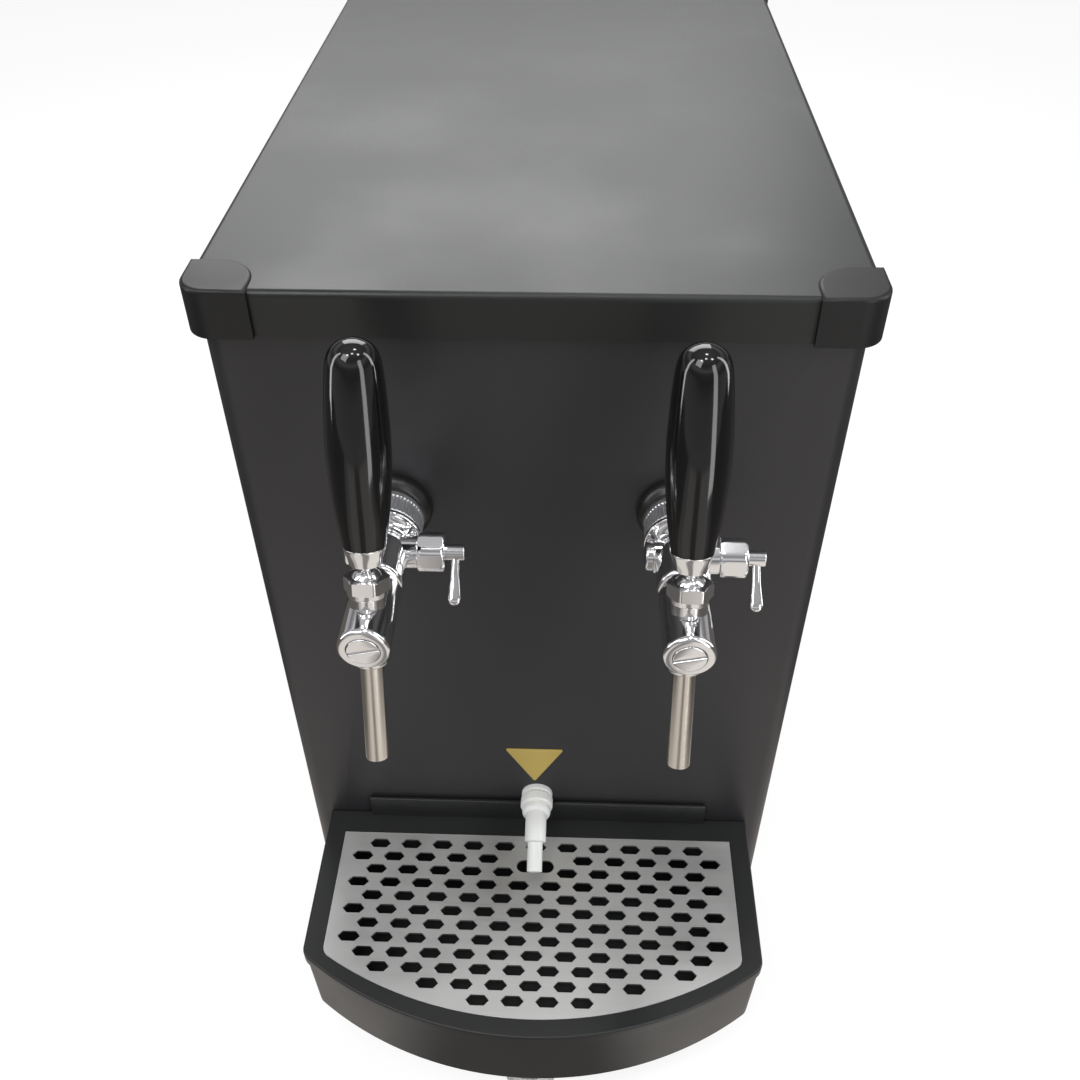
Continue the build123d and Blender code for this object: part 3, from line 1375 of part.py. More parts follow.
dial_gap = 0.4
with BuildPart() as thermostat_body:
    with BuildSketch(facing_front(rear_y - sheet)):
        with Locations((thermostat_x, thermostat_z)):
            Rectangle(thermostat_box, thermostat_box)
    extrude(amount=thermostat_depth)
    with BuildSketch(facing_front(rear_y - sheet)):
        with Locations((thermostat_x, thermostat_z)):
            Circle(spindle_radius + fit)
    extrude(amount=thermostat_depth / 2, mode=Mode.SUBTRACT)
keep(thermostat_body, "thermostat_body")

dial_depth = 13.0
with BuildPart() as thermostat_dial:
    with BuildSketch(facing_front(rear_y + dial_gap)):
        with Locations((thermostat_x, thermostat_z)):
            Circle(thermostat_dial_radius)
    extrude(amount=-dial_depth, taper=5)
    chamfer(thermostat_dial.edges().filter_by(GeomType.CIRCLE).sort_by(Axis.Y)[-1], 1.2)
    with BuildSketch(facing_front(rear_y + dial_gap)):
        with Locations((thermostat_x, thermostat_z)):
            Circle(spindle_radius)
    extrude(amount=dial_gap + sheet + thermostat_depth / 2 - 1)
    with BuildSketch(facing_front(rear_y + dial_gap + dial_depth)):
        with Locations((thermostat_x, thermostat_z + thermostat_dial_radius / 2)):
            Rectangle(1.6, thermostat_dial_radius)
    extrude(amount=1.0, mode=Mode.SUBTRACT)
keep(thermostat_dial, "thermostat_dial")

with BuildPart() as beer_inlets:
    for sign in (-1, 1):
        with BuildSketch(facing_front(rear_y - inlet_reach)):
            with Locations((sign * inlet_x, product_lead_z)):
                Circle(inlet_radius)
        extrude(amount=-2 * inlet_reach)
        with BuildSketch(facing_front(rear_y)):
            with Locations((sign * inlet_x, product_lead_z)):
                Circle(inlet_collar_radius)
        extrude(amount=-inlet_reach / 3)
        with BuildSketch(facing_front(rear_y + inlet_reach)):
            with Locations((sign * inlet_x, product_lead_z)):
                Circle(inlet_bore)
        extrude(amount=2 * inlet_reach - 3, mode=Mode.SUBTRACT)
keep(beer_inlets, "beer_inlets")
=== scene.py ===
"""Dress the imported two-tap beer cooler: sheet metal, taps, drip tray, back fittings and plant."""

from __future__ import annotations

import logging
import math
from dataclasses import dataclass, field
from enum import Enum
from typing import Any, Callable, Sequence

import bmesh
import bpy
import numpy as np
from mathutils import Matrix

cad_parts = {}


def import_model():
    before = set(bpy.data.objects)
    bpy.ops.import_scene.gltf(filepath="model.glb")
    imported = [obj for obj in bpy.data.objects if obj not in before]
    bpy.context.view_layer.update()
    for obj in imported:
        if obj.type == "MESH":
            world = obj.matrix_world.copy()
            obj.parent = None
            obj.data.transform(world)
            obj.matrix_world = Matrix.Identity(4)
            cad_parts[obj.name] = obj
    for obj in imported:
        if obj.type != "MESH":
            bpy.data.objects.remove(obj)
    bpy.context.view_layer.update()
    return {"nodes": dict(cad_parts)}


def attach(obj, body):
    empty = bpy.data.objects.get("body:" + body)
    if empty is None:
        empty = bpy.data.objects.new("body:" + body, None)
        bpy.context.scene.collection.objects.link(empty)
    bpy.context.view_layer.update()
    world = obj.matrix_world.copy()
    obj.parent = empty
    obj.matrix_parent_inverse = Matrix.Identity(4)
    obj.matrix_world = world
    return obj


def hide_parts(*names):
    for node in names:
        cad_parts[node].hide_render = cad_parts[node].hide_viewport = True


LOG = logging.getLogger("beer_cooler")
Array = np.ndarray
Thing = bpy.types.Object
Tree = bpy.types.NodeTree
Node = bpy.types.Node
Point = tuple[float, float, float]
Pair = tuple[float, float]
Shape = Callable[[Array, Array, Array], Array]

MM = 0.001

# Planes and heights that several pieces share, in metres.
FRONT_Y = -0.1767
REAR_Y = 0.3033
MIDDLE_Y = 0.0633
RIM_Z = 0.087
SHANK_Z = 0.3555
LID_TOP_Z = 0.4785

# Welding distance of meshes, the largest turn that still counts as flat, the weight of large faces.
WELD_DISTANCE = 2e-6
FLAT_TURN = math.radians(0.4)
NORMAL_WEIGHT = 60

# Share of the fine grain in the tone, detail of the slow cloud, the span of values that both fill, the
# roughness of a coat, and how far light travels in a translucent piece.
FINE_SHARE = 0.35
CLOUD_DETAIL = 3.0
PATTERN_SPAN = (0.3, 0.7)
COAT_ROUGHNESS = 0.04
LIGHT_TRAVEL = (0.006, 0.006, 0.005)
LIGHT_SCALE = 0.6
WHITE = (1.0, 1.0, 1.0, 1.0)

# The mirrored floor: half its fan's width over reach, the reach at the origin, where it fades in front.
FAN_HALF = 1.2
FAN_REACH = 0.35
FADE_START, FADE_END = -3.5, -6.0


# ---------------- shader nodes
def cleared(owner: bpy.types.Material | bpy.types.World) -> Tree:
    """Switch on the nodes of a material or world and return its emptied tree."""
    owner.use_nodes = True
    owner.node_tree.nodes.clear()
    return owner.node_tree


def add_node(tree: Tree, kind: str, inputs: dict[str | int, Any] | None = None,
             **settings: Any) -> Node:
    """Add a shader node.

    Args:
        tree: the tree that it joins.
        kind: its type, without the leading ShaderNode.
        inputs: the values of its inputs.
        **settings: its other properties, which are set first.

    Returns:
        The new node.
    """
    node = tree.nodes.new(f"ShaderNode{kind}")
    for key, value in settings.items():
        setattr(node, key, value)
    for key, value in (inputs or {}).items():
        node.inputs[key].default_value = value
    return node


def wire(tree: Tree, *links: tuple[Node, str, Node, str | int]) -> None:
    """Link nodes; each row is a node, its output, the node that follows and that one's input."""
    for source, out, target, into in links:
        tree.links.new(source.outputs[out], target.inputs[into])


def add_ramp(tree: Tree, stops: Sequence[Pair], tint: Point) -> Node:
    """Add a colour ramp.

    Args:
        tree: the tree that it joins.
        stops: (position, level) pairs in rising order.
        tint: the colour that each level is multiplied by.

    Returns:
        The ramp's node.
    """
    ramp = add_node(tree, "ValToRGB")
    elements = ramp.color_ramp.elements
    while len(elements) < len(stops):
        elements.new(1.0)
    for element, (position, level) in zip(elements, stops):
        element.position = position
        element.color = (*(level * share for share in tint), 1.0)
    return ramp


# ---------------- finishes
@dataclass(frozen=True)
class GrainRecipe:
    """How one grain is drawn: scale per metre, bump, the spread that it gives, and its stretch."""

    scale: float
    detail: float
    bump: float
    height: float
    rough_spread: float
    tone_spread: float
    cloud_scale: float
    stretch: Point = (1, 1, 1)


class Grain(Enum):
    """The kinds of fine surface that a finish can have."""

    POWDER = GrainRecipe(1500, 3, 0.22, 0.00012, 0.05, 0.10, 7.0)
    WIPED = GrainRecipe(1500, 3, 0.07, 0.00012, 0.09, 0.12, 6.0)
    POLISHED = GrainRecipe(55, 2, 0.05, 0.00010, 0.04, 0.02, 30.0)
    BRUSHED = GrainRecipe(1, 4, 0.10, 0.00006, 0.10, 0.10, 12.0, (6, 900, 900))
    TURNED = GrainRecipe(1, 3, 0.06, 0.00004, 0.06, 0.06, 25.0, (900, 900, 60))
    MOULDED = GrainRecipe(1900, 2, 0.08, 0.00014, 0.06, 0.12, 14.0)
    LACQUER = GrainRecipe(120, 2, 0.02, 0.00008, 0.03, 0.04, 22.0)
    RUBBER = GrainRecipe(1200, 4, 0.40, 0.00020, 0.08, 0.15, 40.0)
    FOAM = GrainRecipe(420, 5, 0.50, 0.00060, 0.05, 0.08, 15.0)
    PLAIN = GrainRecipe(300, 3, 0.08, 0.00008, 0.10, 0.08, 18.0)


@dataclass(frozen=True)
class Finish:
    """One finish of the cooler, with the record slot that it belongs to."""

    name: str
    slot: str
    colour: Point
    grain: Grain
    roughness: float
    metallic: float = 0.0
    specular: float = 0.5
    coat: float = 0.0
    translucency: float = 0.0
    tint: Point | None = None

    def material(self) -> bpy.types.Material:
        """Build this finish's node material once and return it.

        Returns:
            The material, whose colour, roughness and bump follow the object's own coordinates.
        """
        made = bpy.data.materials.get(self.name)
        if made is None:
            made = bpy.data.materials.new(self.name)
            self._lay_out(cleared(made))
        return made

    def _lay_out(self, tree: Tree) -> None:
        """Lay out the shader: fine grain drives the bump, a slow cloud drives tone and roughness."""
        recipe = self.grain.value
        ends = (self.colour, -recipe.tone_spread), (self.tint or self.colour, recipe.tone_spread)
        dark, light = ((*(min(1.0, c * (1.0 + spread)) for c in colour), 1.0)
                       for colour, spread in ends)
        output = add_node(tree, "OutputMaterial")
        surface = {"Metallic": self.metallic, "Specular IOR Level": self.specular,
                   "Coat Weight": self.coat, "Coat Roughness": COAT_ROUGHNESS}
        if self.translucency:
            surface |= {"Subsurface Weight": self.translucency, "Subsurface Radius": LIGHT_TRAVEL,
                        "Subsurface Scale": LIGHT_SCALE}
        shader = add_node(tree, "BsdfPrincipled", surface)
        place = add_node(tree, "TexCoord")
        mapping = add_node(tree, "Mapping", {"Scale": recipe.stretch})
        fine = add_node(tree, "TexNoise", {"Scale": recipe.scale, "Detail": recipe.detail})
        cloud = add_node(tree, "TexNoise", {"Scale": recipe.cloud_scale, "Detail": CLOUD_DETAIL})
        tone = add_node(tree, "Mix", {"A": dark, "B": light}, data_type="RGBA")
        blend = add_node(tree, "Math", {1: FINE_SHARE}, operation="MULTIPLY_ADD")
        rough = add_node(tree, "MapRange", {
            "From Min": PATTERN_SPAN[0], "To Min": max(0.02, self.roughness - recipe.rough_spread),
            "From Max": PATTERN_SPAN[1], "To Max": min(1.0, self.roughness + recipe.rough_spread)})
        bump = add_node(tree, "Bump", {"Strength": recipe.bump, "Distance": recipe.height})
        wire(tree, (place, "Object", mapping, "Vector"), (mapping, "Vector", fine, "Vector"),
             (place, "Object", cloud, "Vector"), (fine, "Fac", blend, 0), (cloud, "Fac", blend, 2),
             (blend, "Value", tone, "Factor"), (tone, "Result", shader, "Base Color"),
             (blend, "Value", rough, "Value"), (rough, "Result", shader, "Roughness"),
             (fine, "Fac", bump, "Height"), (bump, "Normal", shader, "Normal"),
             (shader, "BSDF", output, "Surface"))


PANEL_BLACK = Finish("panel_powder_coat", "panel_black", (0.0165, 0.0158, 0.0178), Grain.POWDER, 0.40)
LID_BLACK = Finish("lid_powder_coat", "lid_black", (0.010, 0.011, 0.0105), Grain.WIPED, 0.33,
                   specular=0.42)
PLAIN_STEEL = Finish("zinc_sheet", "plain_steel", (0.50, 0.50, 0.51), Grain.PLAIN, 0.42, metallic=1.0)
STAINLESS = Finish("brushed_stainless", "stainless", (0.60, 0.60, 0.59), Grain.BRUSHED, 0.42,
                   metallic=1.0)
SPOUT_STEEL = Finish("spout_stainless", "stainless", (0.66, 0.62, 0.57), Grain.TURNED, 0.20,
                     metallic=1.0)
CHROME = Finish("chrome_plate", "chrome", (0.80, 0.80, 0.81), Grain.POLISHED, 0.07, metallic=1.0)
SATIN_PLATE = Finish("satin_plate", "chrome", (0.80, 0.81, 0.83), Grain.PLAIN, 0.32, metallic=1.0)
CAP_BLACK = Finish("corner_cap_plastic", "cap_plastic", (0.006, 0.006, 0.0065), Grain.MOULDED, 0.38,
                   specular=0.36)
COLLAR_BLACK = Finish("collar_plastic", "cap_plastic", (0.008, 0.008, 0.008), Grain.MOULDED, 0.30)
TRAY_BLACK = Finish("tray_moulding", "tray_plastic", (0.0130, 0.0135, 0.0140), Grain.MOULDED, 0.36,
                    specular=0.40)
GRIP_BLACK = Finish("grip_lacquer", "grip_black", (0.004, 0.004, 0.0045), Grain.LACQUER, 0.07,
                    coat=0.15)
NOZZLE_WHITE = Finish("nozzle_moulding", "nozzle_plastic", (0.70, 0.71, 0.70), Grain.LACQUER, 0.32,
                      translucency=0.35)
FOOT_GREY = Finish("foot_moulding", "foot_plastic", (0.52, 0.52, 0.52), Grain.MOULDED, 0.50)
RUBBER = Finish("foot_rubber", "rubber", (0.018, 0.018, 0.018), Grain.RUBBER, 0.75)
FOAM = Finish("insulating_foam", "insulation", (0.72, 0.68, 0.56), Grain.FOAM, 0.85)
TANK_WHITE = Finish("tank_sheet", "tank_plastic", (0.66, 0.68, 0.70), Grain.LACQUER, 0.35)
COPPER = Finish("copper_tube", "copper", (0.72, 0.36, 0.20), Grain.TURNED, 0.28, metallic=1.0,
                tint=(0.55, 0.27, 0.16))
ENAMEL = Finish("machine_enamel", "machine_black", (0.012, 0.012, 0.013), Grain.LACQUER, 0.25)
ALUMINIUM = Finish("fin_aluminium", "aluminium", (0.62, 0.63, 0.64), Grain.PLAIN, 0.35, metallic=1.0)
CONTROL_BLACK = Finish("control_plastic", "control_black", (0.014, 0.014, 0.015), Grain.MOULDED, 0.42)
BRASS = Finish("turned_brass", "brass", (0.62, 0.45, 0.20), Grain.TURNED, 0.25, metallic=1.0)
GOLD_PLATE = Finish("bare_gold_plate", "brass", (0.62, 0.47, 0.14), Grain.BRUSHED, 0.38, metallic=0.7)
MARKING = Finish("dial_marking", "nozzle_plastic", (0.75, 0.75, 0.74), Grain.LACQUER, 0.5)

# The finish of each CAD node; the nodes of a tap stand here without their side.
NODE_FINISH: dict[str, Finish] = {node: finish for finish, nodes in (
    (PANEL_BLACK, "front_panel side_panel_left side_panel_right rear_panel tray_shelf"),
    (LID_BLACK, "lid_cover"), (CAP_BLACK, "corner_caps"), (COLLAR_BLACK, "wall_collars"),
    (PLAIN_STEEL, "base_pan agitator_bracket"), (STAINLESS, "drip_grid"), (TRAY_BLACK, "drip_tray"),
    (SPOUT_STEEL, "product_coils agitator_impeller spool spout"), (FOOT_GREY, "tray_foot"),
    (NOZZLE_WHITE, "nozzle_bulkhead drain_nozzle"), (RUBBER, "rubber_feet"), (FOAM, "tank_insulation"),
    (TANK_WHITE, "water_tank"), (COPPER, "evaporator_coil"), (ALUMINIUM, "condenser"),
    (ENAMEL, "agitator_motor compressor fan_shroud fan_motor"), (BRASS, "flow_cone"),
    (CONTROL_BLACK, "fan_blade thermostat_body thermostat_dial switch_body switch_rocker power_inlet"),
    (CHROME, "panel_screws beer_inlets tap_shanks shank_nuts vent_screws coupling_ring tap_body"),
    (CHROME, "bonnet_nut lever_stem front_plug flow_gland flow_lever"), (GRIP_BLACK, "handle_grip"),
) for node in nodes.split()}


# ---------------- shapes
@dataclass(frozen=True)
class Axes:
    """A local frame: an origin, the direction a piece runs along and one direction across it."""

    origin: Point
    along: Point
    across: Point = (1.0, 0.0, 0.0)

    def place(self, run: Array | float, side: Array | float, rise: Array | float) -> Array:
        """Turn local distances into points of the row frame.

        Args:
            run: distance along the piece.
            side: distance in the across direction.
            rise: distance in the third direction, along x across.

        Returns:
            Points in metres, with the coordinates in the last axis.
        """
        along = np.array(self.along, float)
        along /= np.linalg.norm(along)
        across = np.array(self.across, float)
        third = np.cross(along, across)
        run, side, rise = np.broadcast_arrays(run, side, rise)
        return (np.array(self.origin) + run[..., None] * along
                + side[..., None] * across + rise[..., None] * third)


def around(count: int) -> Array:
    """Even angles round a full turn, as one row."""
    return np.linspace(0, 2 * np.pi, count, endpoint=False)[None, :]


def arc(turn: Array, radius: float, centre: Sequence[float]) -> Array:
    """Points of a circle: its centre plus the radius times the cosine and the sine of each angle."""
    return np.array(centre) + radius * np.stack([np.cos(turn), np.sin(turn)], 1)


def bent(start: Array, corner: Array, end: Array, steps: int) -> Array:
    """Quadratic curve from a start to an end that leans towards a corner."""
    share = np.linspace(0, 1, steps)[:, None]
    return (1 - share) ** 2 * start + 2 * share * (1 - share) * corner + share**2 * end


def eased(corners: Sequence[tuple[float, ...]], steps: int = 6, unit: float = MM) -> Array:
    """Round the corners of a profile.

    Each inner corner is replaced by a quadratic curve that starts and ends the given distance from it.

    Args:
        corners: run, radius and, where it is rounded, easing distance of each corner.
        steps: points on each rounded corner.
        unit: the unit of the corners, in metres.

    Returns:
        The profile as (run, radius) rows, in metres.
    """
    points = np.array([c[:2] for c in corners], float) * unit
    pieces = [points[:1]]
    cuts = [unit * sum(c[2:]) for c in corners[1:-1]]
    for before, here, after, cut in zip(points[:-2], points[1:-1], points[2:], cuts):
        if cut <= 0:
            pieces.append(here[None])
            continue
        start = here + (before - here) / np.linalg.norm(before - here) * cut
        end = here + (after - here) / np.linalg.norm(after - here) * cut
        pieces.append(bent(start, here, end, steps))
    pieces.append(points[-1:])
    return np.concatenate(pieces)


def flowing(points: Sequence[Pair], steps: int = 12) -> Array:
    """Carry a smooth curve through points: a cubic between each two, with slopes from the neighbours.

    Args:
        points: (run, radius) points on the curve.
        steps: samples between two points.

    Returns:
        The curve as (run, radius) rows.
    """
    knots = np.array(points, float)
    padded = np.concatenate([2 * knots[:1] - knots[1:2], knots, 2 * knots[-1:] - knots[-2:-1]])
    share = np.linspace(0, 1, steps, endpoint=False)[:, None]
    a, b, c, d = padded[:-3, None], padded[1:-2, None], padded[2:-1, None], padded[3:, None]
    curve = 0.5 * (2 * b + (c - a) * share + (2 * a - 5 * b + 4 * c - d) * share**2
                   + (3 * b - a - 3 * c + d) * share**3)
    return np.concatenate([curve.reshape(-1, 2), knots[-1:]])


def resampled(profile: Array, step: float) -> Array:
    """Add rows to a profile so that no two neighbours are further apart than a step.

    Args:
        profile: (run, radius) rows.
        step: the longest distance between two rows.

    Returns:
        The profile with its own rows kept and even ones between them.
    """
    walked = np.concatenate([[0.0], np.cumsum(np.hypot(*np.diff(profile, axis=0).T))])
    marks = np.union1d(walked, np.arange(0.0, walked[-1], step))
    return np.stack([np.interp(marks, walked, profile[:, k]) for k in (0, 1)], 1)


def shell(name: str, points: Array, loop_rows: bool = False, loop_columns: bool = True,
          crease: float = 35.0) -> Thing:
    """Join a grid of points into a smooth mesh whose seams and poles are closed.

    Args:
        name: the piece's name.
        points: grid of points, rows by columns by 3.
        loop_rows: whether the last row joins the first.
        loop_columns: whether the last column joins the first.
        crease: edges that turn by more than this stay sharp, in degrees.

    Returns:
        The new object, at the origin.
    """
    rows, columns = points.shape[:2]
    row, column = np.meshgrid(np.arange(rows if loop_rows else rows - 1),
                              np.arange(columns if loop_columns else columns - 1), indexing="ij")
    next_row, next_column = (row + 1) % rows, (column + 1) % columns
    faces = np.stack([row * columns + column, row * columns + next_column,
                      next_row * columns + next_column, next_row * columns + column], -1).reshape(-1, 4)
    mesh = bpy.data.meshes.new(name)
    mesh.from_pydata(points.reshape(-1, 3).tolist(), [], faces.tolist())
    return level_normals(finished(name, mesh, crease))


def finished(name: str, mesh: bpy.types.Mesh, crease: float, flatten: bool = False) -> Thing:
    """Weld a mesh, turn its faces outwards, mark its creases and link it as an object.

    Args:
        name: the object's name.
        mesh: the mesh to finish.
        crease: edges that turn by more than this stay sharp, in degrees.
        flatten: whether triangles that lie in one plane are joined first.

    Returns:
        The linked object.
    """
    work = bmesh.new()
    work.from_mesh(mesh)
    bmesh.ops.remove_doubles(work, verts=work.verts, dist=WELD_DISTANCE)
    if flatten:
        bmesh.ops.dissolve_limit(work, angle_limit=FLAT_TURN, verts=work.verts, edges=work.edges)
    else:
        bmesh.ops.recalc_face_normals(work, faces=work.faces)
    work.to_mesh(mesh)
    work.free()
    mesh.shade_smooth()
    mesh.set_sharp_from_angle(angle=math.radians(crease))
    piece = bpy.data.objects.new(name, mesh)
    bpy.context.scene.collection.objects.link(piece)
    return piece


def level_normals(piece: Thing) -> Thing:
    """Weigh corner normals by face area, so that flat faces look flat beside their rounded edges."""
    weighted = piece.modifiers.new("normals", "WEIGHTED_NORMAL")
    weighted.mode, weighted.weight, weighted.keep_sharp = "FACE_AREA", NORMAL_WEIGHT, True
    return piece


def lathe(name: str, axes: Axes, profile: Array, segments: int, closed: bool = False,
          shape: Shape | None = None, crease: float = 35.0) -> Thing:
    """Turn a profile about an axis: radius times cosine across, radius times sine up.

    Args:
        name: the piece's name.
        axes: the frame whose first direction is the turning axis.
        profile: (run, radius) rows; a radius of zero makes a closed pole.
        segments: columns around the axis.
        closed: whether the profile is a closed ring.
        shape: optional function of (run, radius, angle) that gives the final radius.
        crease: edges that turn by more than this stay sharp, in degrees.

    Returns:
        The turned piece.
    """
    angle = around(segments)
    run, radius = profile[:, :1], profile[:, 1:]
    radius = shape(run, radius, angle) if shape is not None else radius * np.ones_like(angle)
    points = axes.place(run * np.ones_like(angle), radius * np.cos(angle), radius * np.sin(angle))
    return shell(name, points, loop_rows=closed, crease=crease)


def hexagon(across_flats: float, turn: float = 0.0, above: float = 0.0,
            below: float = math.inf) -> Shape:
    """Limit a radius to a hexagon: half the width over the cosine of the angle from the nearest flat.

    Args:
        across_flats: the hexagon's width.
        turn: the angle by which it is turned.
        above: rows of the profile with a smaller radius stay round.
        below: rows of the profile with a larger radius stay round.

    Returns:
        The function that a lathe takes as its shape.
    """
    def limited(run: Array, radius: Array, angle: Array) -> Array:
        """Take the smaller of the profile's radius and the hexagon's."""
        sixth = np.pi / 3
        from_flat = (angle + turn + sixth / 2) % sixth - sixth / 2
        flat = across_flats / 2 / np.cos(from_flat)
        limit = np.where((radius > above) & (radius < below), flat, np.inf)
        return np.minimum(radius * np.ones_like(angle), limit)
    return limited


def bowed_outline(half: float, rear: float, corner: float, front: float, ease: float) -> Array:
    """Outline with straight sides and back and a bowed front.

    The bow is the circle through both corners and the middle of the front. A fillet circle touches it
    from inside and touches the side line.

    Args:
        half: half the width.
        rear: reach of the back edge.
        corner: reach of the corners that the bow starts from.
        front: reach of the bow's middle.
        ease: radius of the fillets.

    Returns:
        The outline as (x, reach from the panel) rows.
    """
    bow = front - corner
    big = (half**2 + bow**2) / (2 * bow)
    centre = front - big
    fillet_reach = centre + math.sqrt((big - ease) ** 2 - (half - ease) ** 2)
    meet = math.atan2(fillet_reach - centre, half - ease)
    side = np.linspace((half, rear), (half, fillet_reach), 10, endpoint=False)
    fillet = arc(np.linspace(0, meet, 10, endpoint=False), ease, (half - ease, fillet_reach))
    bow_line = arc(np.linspace(meet, np.pi - meet, 72), big, (0.0, centre))
    flip = np.array([-1.0, 1.0])
    back = np.linspace((-half, rear), (half, rear), 26)[1:-1]
    return np.concatenate([side, fillet, bow_line, (fillet * flip)[::-1], (side * flip)[::-1], back])


def rounded_rectangle(half_x: float, half_y: float, ease: float) -> Array:
    """Rectangle outline with quarter-circle corners, centred, as (x, y) rows."""
    quarter = arc(np.linspace(0, np.pi / 2, 9), ease, (half_x - ease, half_y - ease))
    flip_x, flip_y = np.array([-1.0, 1.0]), np.array([1.0, -1.0])
    corners = [quarter, (quarter * flip_x)[::-1], quarter * flip_x * flip_y, (quarter * flip_y)[::-1]]
    return np.concatenate(corners)


def capped(name: str, rings: Sequence[Array]) -> Thing:
    """Skin a row of matching rings and close both ends at their middles."""
    start, end = (np.broadcast_to(ring.mean(0), ring.shape) for ring in (rings[0], rings[-1]))
    return shell(name, np.stack([start, *rings, end]))


def stacked(name: str, outlines: Sequence[tuple[float, Array]], centre: Pair) -> Thing:
    """Skin a stack of matching flat outlines, closed at both ends by a centre point.

    Args:
        name: the piece's name.
        outlines: (height, outline) of each level, from one end of the skin to the other.
        centre: the point of the plan on which both ends close.

    Returns:
        The skinned piece.
    """
    first, last = outlines[0], outlines[-1]
    middle = np.broadcast_to(np.array(centre), first[1].shape)
    levels = [(first[0], middle), *outlines, (last[0], middle)]
    return shell(name, np.stack([np.insert(plan, 2, z, axis=1) for z, plan in levels]))


def bevel_edges(piece: Thing, width: float, segments: int, turn: float, harden: bool) -> None:
    """Ease the edges that turn by more than an angle, in degrees, with or without hardened normals."""
    bevel = piece.modifiers.new("edge", "BEVEL")
    bevel.width, bevel.segments, bevel.harden_normals = width, segments, harden
    bevel.limit_method, bevel.angle_limit = "ANGLE", math.radians(turn)


def refined_node(name: str, node: str, crease: float = 30.0, edge: float = 0.0) -> Thing:
    """Copy a CAD node, weld its loose triangles, smooth its curved faces and ease its edges.

    Args:
        name: the new piece's name.
        node: the CAD node that it copies.
        crease: edges that turn by more than this stay sharp, in degrees.
        edge: width of the small bevel on sharp edges, in metres; 0 leaves them.

    Returns:
        The new piece.
    """
    piece = finished(name, bpy.data.objects[node].data.copy(), crease, flatten=True)
    if edge > 0:
        bevel_edges(piece, edge, 2, crease, True)
    return piece


def dress_copy(name: str, node: str, edge: float = 0.0, body: str = "cabinet") -> None:
    """Put a refined copy, in the node's own finish, in the place of a CAD node."""
    dress(refined_node(name, node, edge=edge), NODE_FINISH[node], body, [node])


def dress(piece: Thing, finish: Finish, body: str, stands_for: Sequence[str] = ()) -> None:
    """Give a piece its finish, make it ride on a body and report it.

    Args:
        piece: the object, at the origin.
        finish: its finish.
        body: the CAD body it moves with.
        stands_for: CAD nodes that it replaces.
    """
    piece.data.materials.clear()
    piece.data.materials.append(finish.material())
    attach(piece, body)
    if stands_for:
        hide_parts(*stands_for)
    LOG.info("%s: %s on %s", piece.name, finish.name, body)


